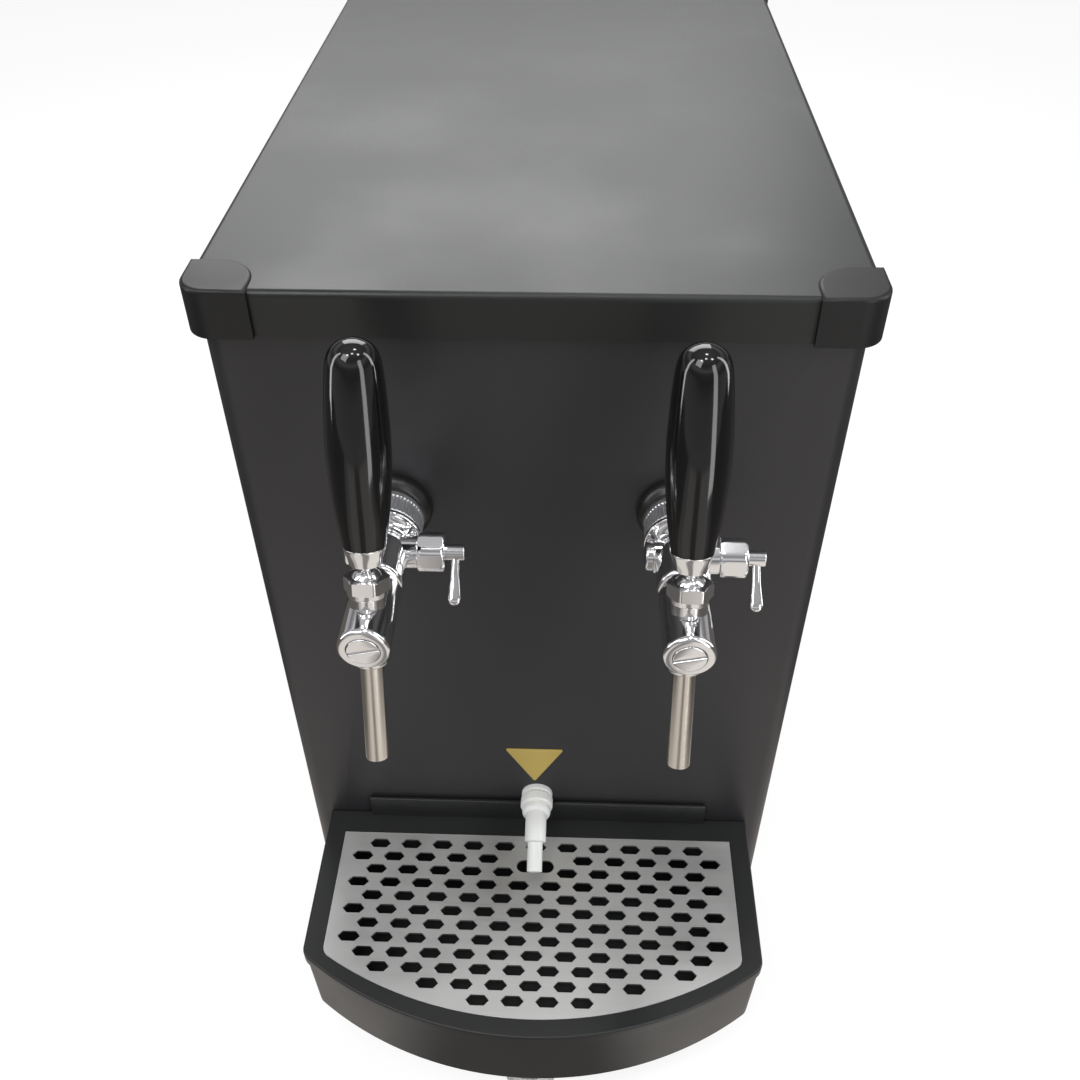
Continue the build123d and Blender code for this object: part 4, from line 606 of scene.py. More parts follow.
# ---------------- cabinet and lid
@dataclass
class Cabinet:
    """Sheets and back fittings of the cabinet, the dial's scale and the bare plate on the front."""

    badge_half: float = 0.0186
    badge_top: float = RIM_Z + 0.0711
    badge_drop: float = 0.0330
    badge_x: float = -0.0015
    badge_ease: float = 0.0010
    badge_border: float = 0.0009
    badge_field: float = 0.00075
    dial_place: Pair = (-0.078, 0.312)
    mark_reach: float = 0.0265
    sheets: tuple[tuple[str, str, float], ...] = (
        ("front_panel_sheet", "front_panel", 0.0),
        ("left_side_sheet", "side_panel_left", 0.0003),
        ("right_side_sheet", "side_panel_right", 0.0003),
        ("louvred_back_sheet", "rear_panel", 0.0003),
        ("zinc_base_pan", "base_pan", 0.0003),
        ("tray_shelf_sheet", "tray_shelf", 0.0003),
        ("turned_feet", "rubber_feet", 0.0008),
        ("back_panel_screws", "panel_screws", 0.0002),
        ("thermostat_plate", "thermostat_body", 0.0005),
        ("switch_bezel", "switch_body", 0.0005),
        ("inlet_socket", "power_inlet", 0.0005),
        ("beer_inlet_stubs", "beer_inlets", 0.0002),
        ("drain_bulkhead", "nozzle_bulkhead", 0.0003),
    )

    def build(self) -> None:
        """Make the cabinet's visible sheets, its back fittings, their marks and the plate."""
        for name, node, edge in self.sheets:
            dress_copy(name, node, edge)
        self.badge()
        self.controls()

    def controls(self) -> None:
        """Dial, rocker, and the dial's scale: thin raised bars that stand along the dial's turn.

        Each bar is a rounded rectangle turned to its angle, with the angle's sine to the right and its
        cosine upwards.
        """
        dress_copy("thermostat_knob", "thermostat_dial", 0.0005, "thermostat_dial")
        dress_copy("switch_paddle", "switch_rocker", 0.0004, "switch_rocker")
        x, z = (rounded_rectangle(0.0007, 0.0024, 0.0006) + np.array([0.0, self.mark_reach])).T
        for mark, angle in enumerate(np.radians(np.linspace(0.0, 270.0, 10))):
            right = self.dial_place[0] + x * math.cos(angle) + z * math.sin(angle)
            upwards = self.dial_place[1] - x * math.sin(angle) + z * math.cos(angle)
            outline = np.stack([right, upwards], 1)
            rings = [np.insert(outline, 1, REAR_Y + lift, axis=1) for lift in (-0.0002, 0.0003)]
            dress(capped(f"dial_mark_{mark}", rings), MARKING, "cabinet")

    def badge(self) -> None:
        """Bare plate: a rounded triangle that points down, with a shallow raised border.

        The triangle's corners are rounded by carrying a small circle round them; the border is the same
        outline scaled towards its centre.
        """
        corners = np.array([[-self.badge_half, 0.0], [self.badge_half, 0.0], [0.0, -self.badge_drop]])
        centre = corners.mean(0)
        inner = centre + (corners - centre) * 0.90
        third = 2 * np.pi / 3
        turn = np.linspace(0, third, 8)
        starts = ((1, np.pi / 2), (2, -np.pi / 6), (0, -np.pi / 6 - third))
        outline = np.concatenate([arc(start - turn, self.badge_ease, inner[k]) for k, start in starts])
        middle = centre + np.array([self.badge_x, self.badge_top])
        levels = ((0.0, 0.0), (0.0, 1.0), (0.0006, 1.0), (self.badge_border, 0.97),
                  (self.badge_border, 0.86), (self.badge_field, 0.84), (self.badge_field, 0.0))
        rows = [np.insert(middle + (outline - centre) * scale, 1, FRONT_Y - lift, axis=1)
                for lift, scale in levels]
        dress(shell("front_plate", np.stack(rows)), GOLD_PLATE, "cabinet")


@dataclass
class Lid:
    """Flat lid with a turned-down skirt and four moulded corner caps."""

    half_x: float = 0.156
    half_y: float = 0.2435
    skirt: float = 0.0225
    sheet: float = 0.0012
    corner: float = 0.0085
    edge: float = 0.0034
    cap_half: Pair = (0.1582, 0.2457)
    cap_reach: Pair = (0.0325, 0.0310)
    cap_arc: float = 0.008
    cap_sweep: float = 0.011

    def build(self) -> None:
        """Make the lid sheet and the caps."""
        self.cover()
        self.caps()

    def caps(self) -> None:
        """Corner caps whose inner corner is swept to a wider arc.

        Each point of the old arc keeps its angle round the arc's centre and moves out by the growth of
        the radius, while the centre moves back by as much in both directions.
        """
        piece = refined_node("lid_corner_caps", "corner_caps", crease=32.0)
        flat = np.empty(len(piece.data.vertices) * 3)
        piece.data.vertices.foreach_get("co", flat)
        points = flat.reshape(-1, 3)
        centre, half = np.array([0.0, MIDDLE_Y]), np.array(self.cap_half)
        side = np.sign(points[:, :2] - centre)
        inward = half - np.abs(points[:, :2] - centre)
        away = inward - (np.array(self.cap_reach) - self.cap_arc)
        slack, least = 1e-5, 1e-6
        distance = np.maximum(np.linalg.norm(away, axis=1), least)[:, None]
        on_arc = (away > -slack).all(1)[:, None]
        inward = np.where(on_arc, inward + (away / distance - 1.0) * self.cap_sweep, inward)
        points[:, :2] = centre + side * (half - inward)
        piece.data.vertices.foreach_set("co", points.ravel())
        piece.data.update()
        dress(level_normals(piece), CAP_BLACK, "lid", ["corner_caps"])

    def cover(self) -> None:
        """Skin the lid from its underside, round the skirt's foot and over the eased top edge."""
        def plan(inset: float) -> Array:
            """Outline of the lid at a distance inside its outer face."""
            half_x, half_y = self.half_x - inset, self.half_y - inset
            return rounded_rectangle(half_x, half_y, self.corner - inset) + np.array([0.0, MIDDLE_Y])
        foot, under = LID_TOP_Z - self.skirt, LID_TOP_Z - self.sheet
        levels = [(under, plan(self.sheet)), (foot, plan(self.sheet)), (foot, plan(0.0))]
        levels += [(LID_TOP_Z - self.edge * (1 - math.sin(a)), plan(self.edge * (1 - math.cos(a))))
                   for a in np.linspace(0, np.pi / 2, 7)]
        dress(stacked("lid_sheet", levels, (0.0, MIDDLE_Y)), LID_BLACK, "lid", ["lid_cover"])


# ---------------- drip station
@dataclass
class DripStation:
    """Drip tray with its rim, upstand and basin, the grid, the tray foot and the drain nozzle."""

    half: float = 0.1384
    corner: float = 0.103
    reach: float = 0.1496
    gap: float = 0.0008
    ease: float = 0.009
    lip: float = 0.001
    lip_height: float = 0.008
    lip_round: float = 0.0006
    height: float = 0.062
    draft: float = 0.0016
    base_round: float = 0.003
    grid_half: float = 0.1274
    grid_rear: float = 0.0166
    grid_corner: float = 0.1023
    grid_reach: float = 0.1399
    grid_ease: float = 0.008
    recess: float = 0.0015
    ledge: float = 0.005
    basin_half: float = 0.122
    basin_floor: float = 0.059
    upstand_half: float = 0.111
    upstand_height: float = 0.018
    upstand_thickness: float = 0.0027
    upstand_edge: float = 0.0009
    notch_half: float = 0.009
    notch_floor: float = 0.03
    nozzle_z: float = RIM_Z + 0.025

    def build(self) -> None:
        """Make the tray, its upstand, the grid, the foot and the nozzle."""
        self.tray()
        self.upstand()
        dress_copy("drip_grid_plate", "drip_grid", body="drip_grid")
        dress_copy("tray_leg", "tray_foot", 0.0004, "drip_tray")
        self.nozzle()

    def plan(self, half: float, rear: float, corner: float, reach: float, ease: float) -> Array:
        """One bowed outline of the tray, in the row frame."""
        outline = bowed_outline(half, rear, corner, reach, ease)
        return np.stack([outline[:, 0], FRONT_Y - outline[:, 1]], 1)

    def outer(self, inset: float) -> Array:
        """Outline of the tray's outside at a distance inside its lip."""
        return self.plan(self.half + self.lip - inset, self.gap + max(0.0, inset - self.lip),
                         self.corner + self.lip / 2 - inset / 2, self.reach + self.lip - inset,
                         self.ease + self.lip - inset * 0.5)

    def tray(self) -> None:
        """Skin the tray from below, up the drafted wall, over the lip and down into the basin."""
        base = RIM_Z - self.height
        wall = self.lip + self.draft
        basin_rear = self.grid_rear + self.ledge
        floor = RIM_Z - self.basin_floor
        basin = [(z, self.plan(self.basin_half - t, basin_rear + t, self.grid_corner - 0.0025 - t,
                               self.grid_reach - self.ledge - t, self.grid_ease - t * 0.5))
                 for z, t in ((RIM_Z - self.recess, 0.0), (RIM_Z - 0.03, 0.0013),
                              (floor + 0.003, 0.0023), (floor, 0.0045))]
        round_lip = self.lip * 1.3
        lip_top = [(RIM_Z - round_lip * (1 - math.sin(a)), self.outer(round_lip * (1 - math.cos(a))))
                   for a in np.linspace(0, np.pi / 2, 6)]
        grid_edge = self.plan(self.grid_half, self.grid_rear, self.grid_corner, self.grid_reach,
                              self.grid_ease)
        under, part = RIM_Z - self.lip_height, self.base_round * 0.3
        levels = [(base, self.outer(wall + self.base_round)), (base + part, self.outer(wall + part)),
                  (base + self.base_round, self.outer(wall)),
                  (under - self.lip_round, self.outer(self.lip * 1.2)),
                  (under, self.outer(self.lip * 0.4)),
                  (under + self.lip_round, self.outer(0.0)), *lip_top,
                  (RIM_Z, grid_edge), (RIM_Z - self.recess, grid_edge), *basin]
        piece = stacked("drip_tray_moulding", levels, (0.0, FRONT_Y - 0.07))
        dress(piece, TRAY_BLACK, "drip_tray", ["drip_tray"])

    def upstand(self) -> None:
        """Plate that stands on the tray's back edge, notched at its middle and eased along its top."""
        across = np.array([-self.upstand_half, -self.notch_half, -self.notch_half,
                           self.notch_half, self.notch_half, self.upstand_half])
        top = np.array([1.0, 1.0, self.notch_floor, self.notch_floor, 1.0, 1.0]) * self.upstand_height
        near, far, foot = self.gap, self.gap + self.upstand_thickness, np.full(6, -0.001)
        rows = [np.stack([across, np.full(6, FRONT_Y - reach), RIM_Z + lift], 1)
                for reach, lift in ((near, foot), (near, top), (far, top), (far, foot))]
        piece = shell("tray_upstand", np.stack(rows), loop_rows=True, loop_columns=False)
        work = bmesh.new()
        work.from_mesh(piece.data)
        bmesh.ops.holes_fill(work, edges=[e for e in work.edges if e.is_boundary], sides=0)
        bmesh.ops.recalc_face_normals(work, faces=work.faces)
        work.to_mesh(piece.data)
        work.free()
        bevel_edges(piece, self.upstand_edge, 3, 40.0, False)
        dress(piece, TRAY_BLACK, "drip_tray")

    def nozzle(self) -> None:
        """Cap with a wide ring and an elbow tube that narrows to its tip.

        The tube's line is a straight run, a curved elbow and a second straight run. The profile's run
        is measured along that line, and each ring of points stands square to it.
        """
        start = np.array([FRONT_Y - 0.0175, self.nozzle_z])
        elbow = np.array([FRONT_Y - 0.0280, self.nozzle_z])
        tip = np.array([FRONT_Y - 0.0515, RIM_Z + 0.013])
        bend, fat, thin = 0.0065, 0.0067, 0.0048
        into = (elbow - start) / np.linalg.norm(elbow - start)
        out = (tip - elbow) / np.linalg.norm(tip - elbow)
        corner = bent(elbow - into * bend, elbow, elbow + out * bend, 24)
        line = np.concatenate([start[None], corner, tip[None]])
        length = np.concatenate([[0], np.cumsum(np.linalg.norm(np.diff(line, axis=0), axis=1))])
        total = length[-1]
        step = total - 0.7 * np.linalg.norm(tip - elbow)
        profile = resampled(eased([(-0.003, 0.0), (-0.003, fat), (step, fat, 0.0007),
                                   (step + 0.0004, thin, 0.0004), (total, thin, 0.0005),
                                   (total, 0.0022, 0.0003), (total - 0.012, 0.0022),
                                   (total - 0.012, 0.0)], 5, unit=1.0), 0.0008)
        run, radius = profile[:, 0], profile[:, 1]
        inside = np.clip(run, 0, total)
        y, z = (np.interp(inside, length, line[:, k]) for k in (0, 1))
        look = 0.0012
        ahead, behind = inside + look, inside - look
        dy, dz = (np.interp(ahead, length, line[:, k]) - np.interp(behind, length, line[:, k])
                  for k in (0, 1))
        size = np.hypot(dy, dz)
        dy, dz = dy / size, dz / size
        y = y + np.where(run < 0, run * dy, 0)
        angle = around(64)
        side, rise = radius[:, None] * np.cos(angle), radius[:, None] * np.sin(angle)
        points = np.stack([side, y[:, None] + rise * dz[:, None], z[:, None] - rise * dy[:, None]], -1)
        dress(shell("drain_elbow", points), NOZZLE_WHITE, "drain_nozzle")
        axes = Axes((0.0, FRONT_Y, self.nozzle_z), (0, -1, 0))
        cap = eased([(4, 0), (4, 9.1, 0.2), (5.5, 10.4, 0.6), (11.2, 10.4, 0.6), (12, 9.1, 0.5),
                     (16, 9.1, 1), (18.5, 7.6, 0.8), (18.5, 0)], 5)
        dress(lathe("drain_cap", axes, cap, 80), NOZZLE_WHITE, "drain_nozzle", ["drain_nozzle"])


# ---------------- taps
@dataclass
class Tap:
    """One tap: collar, knurled ring, body, bonnet, lever, grip, spout and flow regulator."""

    side: str
    x: float
    tilt: float = math.radians(18.0)
    head_reach: float = 0.0798
    pivot_height: float = 0.017
    barrel_drop: float = 0.003
    flow_reach: float = 0.0353
    ring_radius: float = 0.0175
    knurl_count: int = 56
    knurl_depth: float = 0.0007
    knurl_band: Pair = (0.0120, 0.0228)
    knurl_fade: float = 0.0008
    carries_shared: bool = False
    shank: Axes = field(init=False)
    barrel: Axes = field(init=False)
    head: Axes = field(init=False)
    cross: Axes = field(init=False)

    def __post_init__(self) -> None:
        """Set up the tap's four axes."""
        up = (0.0, math.sin(self.tilt), math.cos(self.tilt))
        self.shank = Axes((self.x, FRONT_Y, SHANK_Z), (0, -1, 0))
        self.barrel = Axes((self.x, FRONT_Y, SHANK_Z - self.barrel_drop), (0, -1, 0))
        self.head = Axes((self.x, FRONT_Y - self.head_reach, SHANK_Z), up)
        self.cross = Axes((self.x, FRONT_Y - self.flow_reach, SHANK_Z), (1, 0, 0), (0, 1, 0))

    def name(self, piece: str) -> str:
        """Name of a piece of this tap."""
        return f"{piece}_{self.side}"

    def turn(self, piece: str, axes: Axes, profile: Array, segments: int, node: str = "",
             finish: Finish = CHROME, body: str = "cabinet", **options: Any) -> None:
        """Turn a piece of the tap and dress it.

        Args:
            piece: its name, without the side.
            axes: the frame whose first direction it is turned about.
            profile: (run, radius) rows.
            segments: columns around the axis.
            node: the CAD node that it replaces; the nodes of one tap without the side.
            finish: its finish.
            body: the CAD body it moves with.
            **options: whatever else a lathe takes.
        """
        if node in ("wall_collars", "vent_screws"):
            stands_for = [node] if self.carries_shared else []
        else:
            stands_for = [self.name(node)] if node else []
        dress(lathe(self.name(piece), axes, profile, segments, **options), finish, body, stands_for)

    def build(self) -> None:
        """Make every visible piece of the tap."""
        self.collar()
        self.ring()
        self.body()
        self.bonnet()
        self.lever()
        self.grip()
        self.spout()
        self.regulator()

    def collar(self) -> None:
        """Black escutcheon with a rounded rim."""
        profile = eased([(0, 11.1), (0, 21, 0.4), (4.2, 20.8, 2.2), (8, 17.5, 1.2), (8, 11.1)], 8)
        self.turn("collar", self.shank, profile, 96, "wall_collars", COLLAR_BLACK, closed=True)

    def ring(self) -> None:
        """Coupling ring whose front half is cut by straight grooves.

        The grooves' depth follows a triangle wave round the axis, faded in and out along the band.
        """
        band = np.linspace((0.0096, self.ring_radius), (0.0224, self.ring_radius), 45)
        rear = [(20.2, 12.3), (14.2, 15.2), (8.2, 15.2), (8.2, 16.5), (9, 17.1)]
        profile = np.concatenate([eased(rear), band, eased([(23, 17.1), (24, 16.3), (24, 12.3)])])

        def knurl(run: Array, radius: Array, angle: Array) -> Array:
            """Lower the knurled band along its grooves."""
            wave = np.abs(2 * ((self.knurl_count * angle / (2 * np.pi)) % 1) - 1)
            start, end = self.knurl_band
            fade = np.minimum(run - start, end - run) / self.knurl_fade
            return radius - self.knurl_depth * wave * np.clip(fade, 0, 1)

        self.turn("knurled_ring", self.shank, profile, self.knurl_count * 8, "coupling_ring",
                  SATIN_PLATE, closed=True, shape=knurl, crease=50.0)

    def body(self) -> None:
        """Flange, waist and barrel on the shank axis, front barrel, cross boss, neck and spout boss.

        The hollow behind the flange is a circular arc: its centre plus 5.5 mm times cosine and sine.
        """
        flare = arc(np.radians(np.linspace(181.0, 264.5, 14)), 0.0055, (0.0320, 0.01708))
        rear = eased([(20.2, 8.3), (20.2, 11.9), (24.1, 11.9), (24.1, 18, 0.5), (26.4, 18, 0.7),
                      (26.5, 17.1)])
        front = eased([(32, 11.6), (36.5, 13, 2), (58, 13, 1.2), (59.5, 11.8, 0.6), (59.5, 10.4),
                       (47, 10.4), (47, 8.3)])
        main = np.concatenate([rear, flare, front])
        self.turn("tap_rear_body", self.shank, main, 96, "tap_body", closed=True)
        barrel = eased([(66, 8.8), (48, 8.8), (48, 12.2), (99.6, 12.2, 3), (99.6, 8, 0.2), (92.2, 8),
                        (92.2, 7.2), (66, 7.2)], 8)
        self.turn("tap_front_barrel", self.barrel, barrel, 96, closed=True)
        boss = eased([(-14, 0), (-14, 8.5, 0.5), (18, 8.5, 0.5), (18, 0)])
        self.turn("tap_cross_boss", self.cross, boss, 72)
        self.neck()
        boss = eased([(-24, 5.6), (-24, 8.2, 0.8), (-11, 8.2), (-11, 5.6)])
        self.turn("spout_boss", self.head, boss, 80, closed=True)
        self.plug()

    def neck(self) -> None:
        """Ring under the bonnet whose foot runs down at its front onto the barrel and up at its back.

        The foot's run is a middle value plus a share of the sine of the angle; the bore is a cone from
        the ball's seat to the foot, so that the driving arm swings free.
        """
        angle = around(80)
        middle, share = 0.0060, 0.0027
        foot = middle + share * np.sin(angle)
        level = np.ones_like(angle)
        run = np.concatenate([foot, 0.0114 * level, 0.0118 * level, 0.0118 * level, foot])
        radius = np.array([[0.0084], [0.0084], [0.0080], [0.0061], [0.0082]]) * level
        points = self.head.place(run, radius * np.cos(angle), radius * np.sin(angle))
        dress(shell(self.name("tap_neck"), points, loop_rows=True), CHROME, "cabinet")

    def plug(self) -> None:
        """Slotted plug: a turned core and two raised half discs that leave the slot between them.

        Each half disc is the circle's arc from one end of the slot's edge to the other, carried forward
        and eased at its face.
        """
        core = eased([(92.1, 0), (92.1, 7.8), (98.6, 7.8, 0.1), (98.6, 0)])
        self.turn("plug_core", self.barrel, core, 72, "front_plug")
        slot, lean, widest = 0.00065, math.radians(14.0), 0.0077
        for label, start in (("upper", 0.0), ("lower", math.pi)):
            cosine, sine = math.cos(start + lean), math.sin(start + lean)
            rows = []
            levels = ((0.0984, widest), (0.0997, widest), (0.1000, 0.00755), (0.1002, 0.0072))
            for run, radius in levels:
                low = slot + widest - radius
                cut = math.asin(low / radius)
                reach = radius * math.cos(cut)
                half = arc(np.linspace(cut, math.pi - cut, 40), radius, (0.0, 0.0))
                edge = np.linspace((-reach, low), (reach, low), 14)[1:-1]
                side, rise = np.concatenate([half, edge]).T
                across, upwards = side * cosine - rise * sine, side * sine + rise * cosine
                rows.append(self.barrel.place(run, across, upwards))
            dress(capped(self.name(f"plug_face_{label}"), rows), CHROME, "cabinet")

    def bonnet(self) -> None:
        """Hexagon nut with small chamfers above a round skirt, open at its top round the ball."""
        top = self.pivot_height + 0.0038
        outside = eased([(11.2, 8.6), (11.2, 9.1, 0.3), (13.7, 9.4), (13.8, 10)])
        low = np.linspace((0.0138, 0.0100), (0.0143, 0.0107), 6)[1:]
        flats = np.linspace((0.0143, 0.0107), (top - 0.0009, 0.0107), 7)[1:-1]
        high = np.linspace((top - 0.0009, 0.0107), (top, 0.0088), 8)
        inside = eased([(top, 0.0085), (top, 0.0070, 0.0003), (0.0170, 0.0079), (0.0112, 0.0086)],
                       unit=1.0)[:-1]
        profile = np.concatenate([outside, low, flats, high, inside])
        self.turn("hexagon_bonnet", self.head, profile, 180, "bonnet_nut", closed=True, crease=24.0,
                  shape=hexagon(0.0190, math.pi / 6, above=0.0096))

    def lever(self) -> None:
        """Ball, stem and ferrule above the pivot, driving arm with its round tip below."""
        ball, stem, swinging = 0.0078, 0.0034, f"tap_lever_{self.side}"
        turn = np.linspace(-np.pi / 2, math.acos(stem / ball), 40)
        sphere = arc(turn, ball, (0.0, self.pivot_height))[:, ::-1]
        base = self.pivot_height + 0.0095
        above = eased([(base - 0.001, stem), (base, stem + 0.0001), (base, 0.0074, 0.0003),
                       (base + 0.0040, 0.0082, 0.0020), (base + 0.0080, 0.0097, 0.0003),
                       (base + 0.009, 0.0099, 0.0004), (base + 0.009, 0.0)], unit=1.0)
        lever = np.concatenate([sphere, above])
        self.turn("lever_ball", self.head, lever, 80, "lever_stem", body=swinging)
        swing = math.radians(16.0)
        pivot = self.head.place(self.pivot_height, 0.0, 0.0)
        axes = Axes(tuple(pivot), (0.0, -math.sin(swing), -math.cos(swing)))
        thin, tip = 0.002, 0.003
        end = arc(np.linspace(-math.acos(thin / tip), np.pi / 2, 24), tip, (0.0, 0.01995))[:, ::-1]
        arm = np.concatenate([[(0.005, 0.0), (0.005, thin)], end])
        self.turn("driving_arm", axes, arm, 40, body=swinging)

    def grip(self) -> None:
        """Turned grip: fullest at mid-height, waisted to its shoulder, closed by a dome."""
        base, length = self.pivot_height + 0.0185, 0.0935
        shares = ((0.0, 0.0098), (0.22, 0.0128), (0.48, 0.0143), (0.72, 0.0135), (0.86, 0.0124),
                  (0.915, 0.0114), (0.955, 0.0095), (0.982, 0.0064), (0.996, 0.0030), (1.0, 0.0))
        profile = flowing([(base + share * length, radius) for share, radius in shares], 9)
        profile = np.maximum(np.concatenate([[(base, 0.0), (base, 0.0094)], profile]), 0.0)
        self.turn("black_grip", self.head, profile, 112, "handle_grip", GRIP_BLACK,
                  f"tap_lever_{self.side}")

    def spout(self) -> None:
        """Straight outlet tube with an eased open end."""
        profile = eased([(-14.5, 4.7), (-14.5, 5.5), (-76.5, 5.5, 0.25), (-76.5, 4.7, 0.25),
                         (-14.5, 4.7)], 4)
        self.turn("outlet_tube", self.head, resampled(profile, 0.004)[:-1], 80, "spout", SPOUT_STEEL,
                  closed=True)

    def regulator(self) -> None:
        """Gland nut and flow lever on the right, vent screw with a hexagon socket on the left."""
        gland = eased([(18, 0), (18, 10, 0.6), (20, 10.25, 0.4), (30, 10.25, 0.8), (31.3, 9.2, 0.4),
                       (31.3, 0)])
        self.turn("gland_nut", self.cross, resampled(gland, 0.0006), 120, "flow_gland",
                  shape=hexagon(0.0194, math.radians(12)))
        self.handle()
        outward = Axes(self.cross.origin, (-1, 0, 0), (0, 1, 0))
        head = eased([(14, 0), (14, 7.5, 0.3), (17.2, 7.3, 0.6), (17.9, 6.4, 0.4), (17.9, 4, 0.3)])
        screw = np.concatenate([head, [(0.0177, 0.0029), (0.0160, 0.0029), (0.0156, 0.0)]])
        self.turn("vent_screw", outward, screw, 72, "vent_screws", shape=hexagon(0.005, below=0.0035))

    def handle(self) -> None:
        """Regulator spindle and its small arm.

        The arm's cross-section is a rounded rectangle, width times cosine to the power 0.7 across and
        thickness times sine to the power 0.7 through it; both shrink to nothing over the round end.
        """
        spindle = eased([(19, 0), (19, 4), (40.5, 4, 0.6), (40.5, 0)])
        body = f"flow_lever_{self.side}"
        self.turn("flow_spindle", self.cross, spindle, 64, "flow_lever", body=body)
        lean = math.radians(49.0)
        start = (self.x + 0.036, FRONT_Y - self.flow_reach, SHANK_Z)
        axes = Axes(start, (0.0, -math.sin(lean), -math.cos(lean)))
        straight, end, power = 0.02275, 0.00325, 0.7
        run = np.concatenate([[0.001], np.linspace(0.001, straight, 18),
                              straight + end * np.sin(np.linspace(0, np.pi / 2, 12)[1:])])
        closing = np.sqrt(1 - np.clip((run - straight) / end, 0, 1) ** 2)
        closing[0] = 0.0
        half = np.interp(run, (0.002, 0.012, straight), (0.0020, 0.0022, end)) * closing
        thick = np.interp(run, (0.002, 0.012, straight), (0.0016, 0.0014, 0.0018)) * closing**power
        waves = (np.cos(around(48)), np.sin(around(48)))
        wide, deep = (np.sign(wave) * np.abs(wave) ** power for wave in waves)
        points = axes.place(run[:, None], half[:, None] * wide, thick[:, None] * deep)
        dress(shell(self.name("flow_arm"), points), CHROME, body)


# ---------------- studio
@dataclass(frozen=True)
class Lamp:
    """One soft lamp: where it hangs, what it looks at, its width and height and its power."""

    name: str
    place: Point
    aim: Point
    width: float
    height: float
    power: float


@dataclass
class Studio:
    """Pale floor, soft lamps and the camera."""

    lamps: tuple[Lamp, ...] = (
        Lamp("key_lamp", (-0.9, -1.2, 2.1), (0.0, -0.1, 0.25), 0.9, 0.9, 12.0),
        Lamp("left_strip", (-1.15, -0.35, 0.85), (0.0, -0.2, 0.35), 0.18, 1.4, 5.0),
        Lamp("front_strip", (1.00, -1.35, 0.80), (0.0, -0.25, 0.40), 0.40, 1.7, 9.0),
        Lamp("right_strip", (1.15, -0.10, 0.85), (0.0, -0.2, 0.35), 0.22, 1.4, 6.0),
        Lamp("back_lamp", (-0.16, 1.25, 1.35), (0.0, 0.1, 0.45), 1.3, 0.8, 14.0),
        *(Lamp(f"spark_{side}", place, (0.0, -0.25, 0.40), 0.20, 0.20, 2.4) for side, place in (
            ("left", (-0.42, -0.80, 1.9)), ("middle", (0.05, -0.60, 2.0)),
            ("right", (0.60, -0.55, 1.8)), ("back", (0.15, 0.15, 2.0)))),
    )
    camera_place: Point = (0.01949, -0.6090, 0.7137)
    yaw: float = -2.208
    pitch: float = 41.304
    roll: float = -0.339
    lens: float = 36.55
    floor_half: float = 6.0
    floor_glow: float = 1.07
    glow_share: float = 0.8

    def build(self) -> None:
        """Set up view, world, floor, lamps and camera."""
        scene = bpy.context.scene
        scene.view_settings.view_transform = "Standard"
        self.world()
        self.floor()
        for lamp in self.lamps:
            self.hang(lamp)
        self.camera()

    def world(self) -> None:
        """World that lights evenly, is white where it is seen and is a dim room where it is mirrored.

        The mirrored room's brightness follows the direction's height: dim near the horizon, a pale band
        above it and a bright ceiling.
        """
        world = bpy.data.worlds.new("studio_world")
        bpy.context.scene.world = world
        tree = cleared(world)
        output = add_node(tree, "OutputWorld")
        seen_mix, mirror_mix = add_node(tree, "MixShader"), add_node(tree, "MixShader")
        lit = add_node(tree, "Background", {"Color": WHITE, "Strength": 0.40})
        seen = add_node(tree, "Background", {"Color": WHITE, "Strength": 1.0})
        mirrored = add_node(tree, "Background")
        place, split, rays = (add_node(tree, kind) for kind in ("TexCoord", "SeparateXYZ", "LightPath"))
        ramp = add_ramp(tree, ((0.0, 0.45), (0.16, 0.35), (0.26, 0.16), (0.40, 0.30), (0.52, 0.75),
                               (0.68, 0.25), (1.0, 0.55)), (1.0, 1.0, 1.02))
        wire(tree, (place, "Generated", split, "Vector"), (split, "Z", ramp, "Fac"),
             (ramp, "Color", mirrored, "Color"), (rays, "Is Glossy Ray", mirror_mix, "Fac"),
             (lit, "Background", mirror_mix, 1), (mirrored, "Background", mirror_mix, 2),
             (rays, "Is Camera Ray", seen_mix, "Fac"), (mirror_mix, "Shader", seen_mix, 1),
             (seen, "Background", seen_mix, 2), (seen_mix, "Shader", output, "Surface"))

    def floor(self) -> None:
        """Pale floor: it keeps the shadow, is white around it and dim where it is mirrored."""
        lines = np.linspace(-self.floor_half, self.floor_half, 3)
        grid = np.stack(np.meshgrid(lines, lines, indexing="ij"), -1)
        piece = shell("studio_floor", np.insert(grid, 2, 0.0, axis=2), loop_columns=False)
        material = bpy.data.materials.new("studio_floor")
        tree = cleared(material)
        output, mix = add_node(tree, "OutputMaterial"), add_node(tree, "MixShader")
        paint = add_node(tree, "BsdfDiffuse", {"Color": (0.86, 0.86, 0.86, 1.0)})
        glow = add_node(tree, "Emission", {"Color": WHITE, "Strength": self.floor_glow})
        rays = add_node(tree, "LightPath")
        share = add_node(tree, "Math", {1: self.glow_share}, operation="MULTIPLY")
        whole = add_mirrored_floor(tree, mix, rays)
        wire(tree, (rays, "Is Camera Ray", share, 0), (share, "Value", mix, "Fac"),
             (paint, "BSDF", mix, 1), (glow, "Emission", mix, 2), (whole, "Shader", output, "Surface"))
        piece.data.materials.append(material)

    def hang(self, lamp: Lamp) -> None:
        """Hang a rectangular soft lamp that looks at its aim."""
        data = bpy.data.lights.new(lamp.name, "AREA")
        data.shape = "RECTANGLE"
        data.size, data.size_y = lamp.width, lamp.height
        data.energy = lamp.power
        piece = bpy.data.objects.new(lamp.name, data)
        piece.matrix_world = facing(lamp.place, np.array(lamp.aim) - np.array(lamp.place), 0.0)
        bpy.context.scene.collection.objects.link(piece)

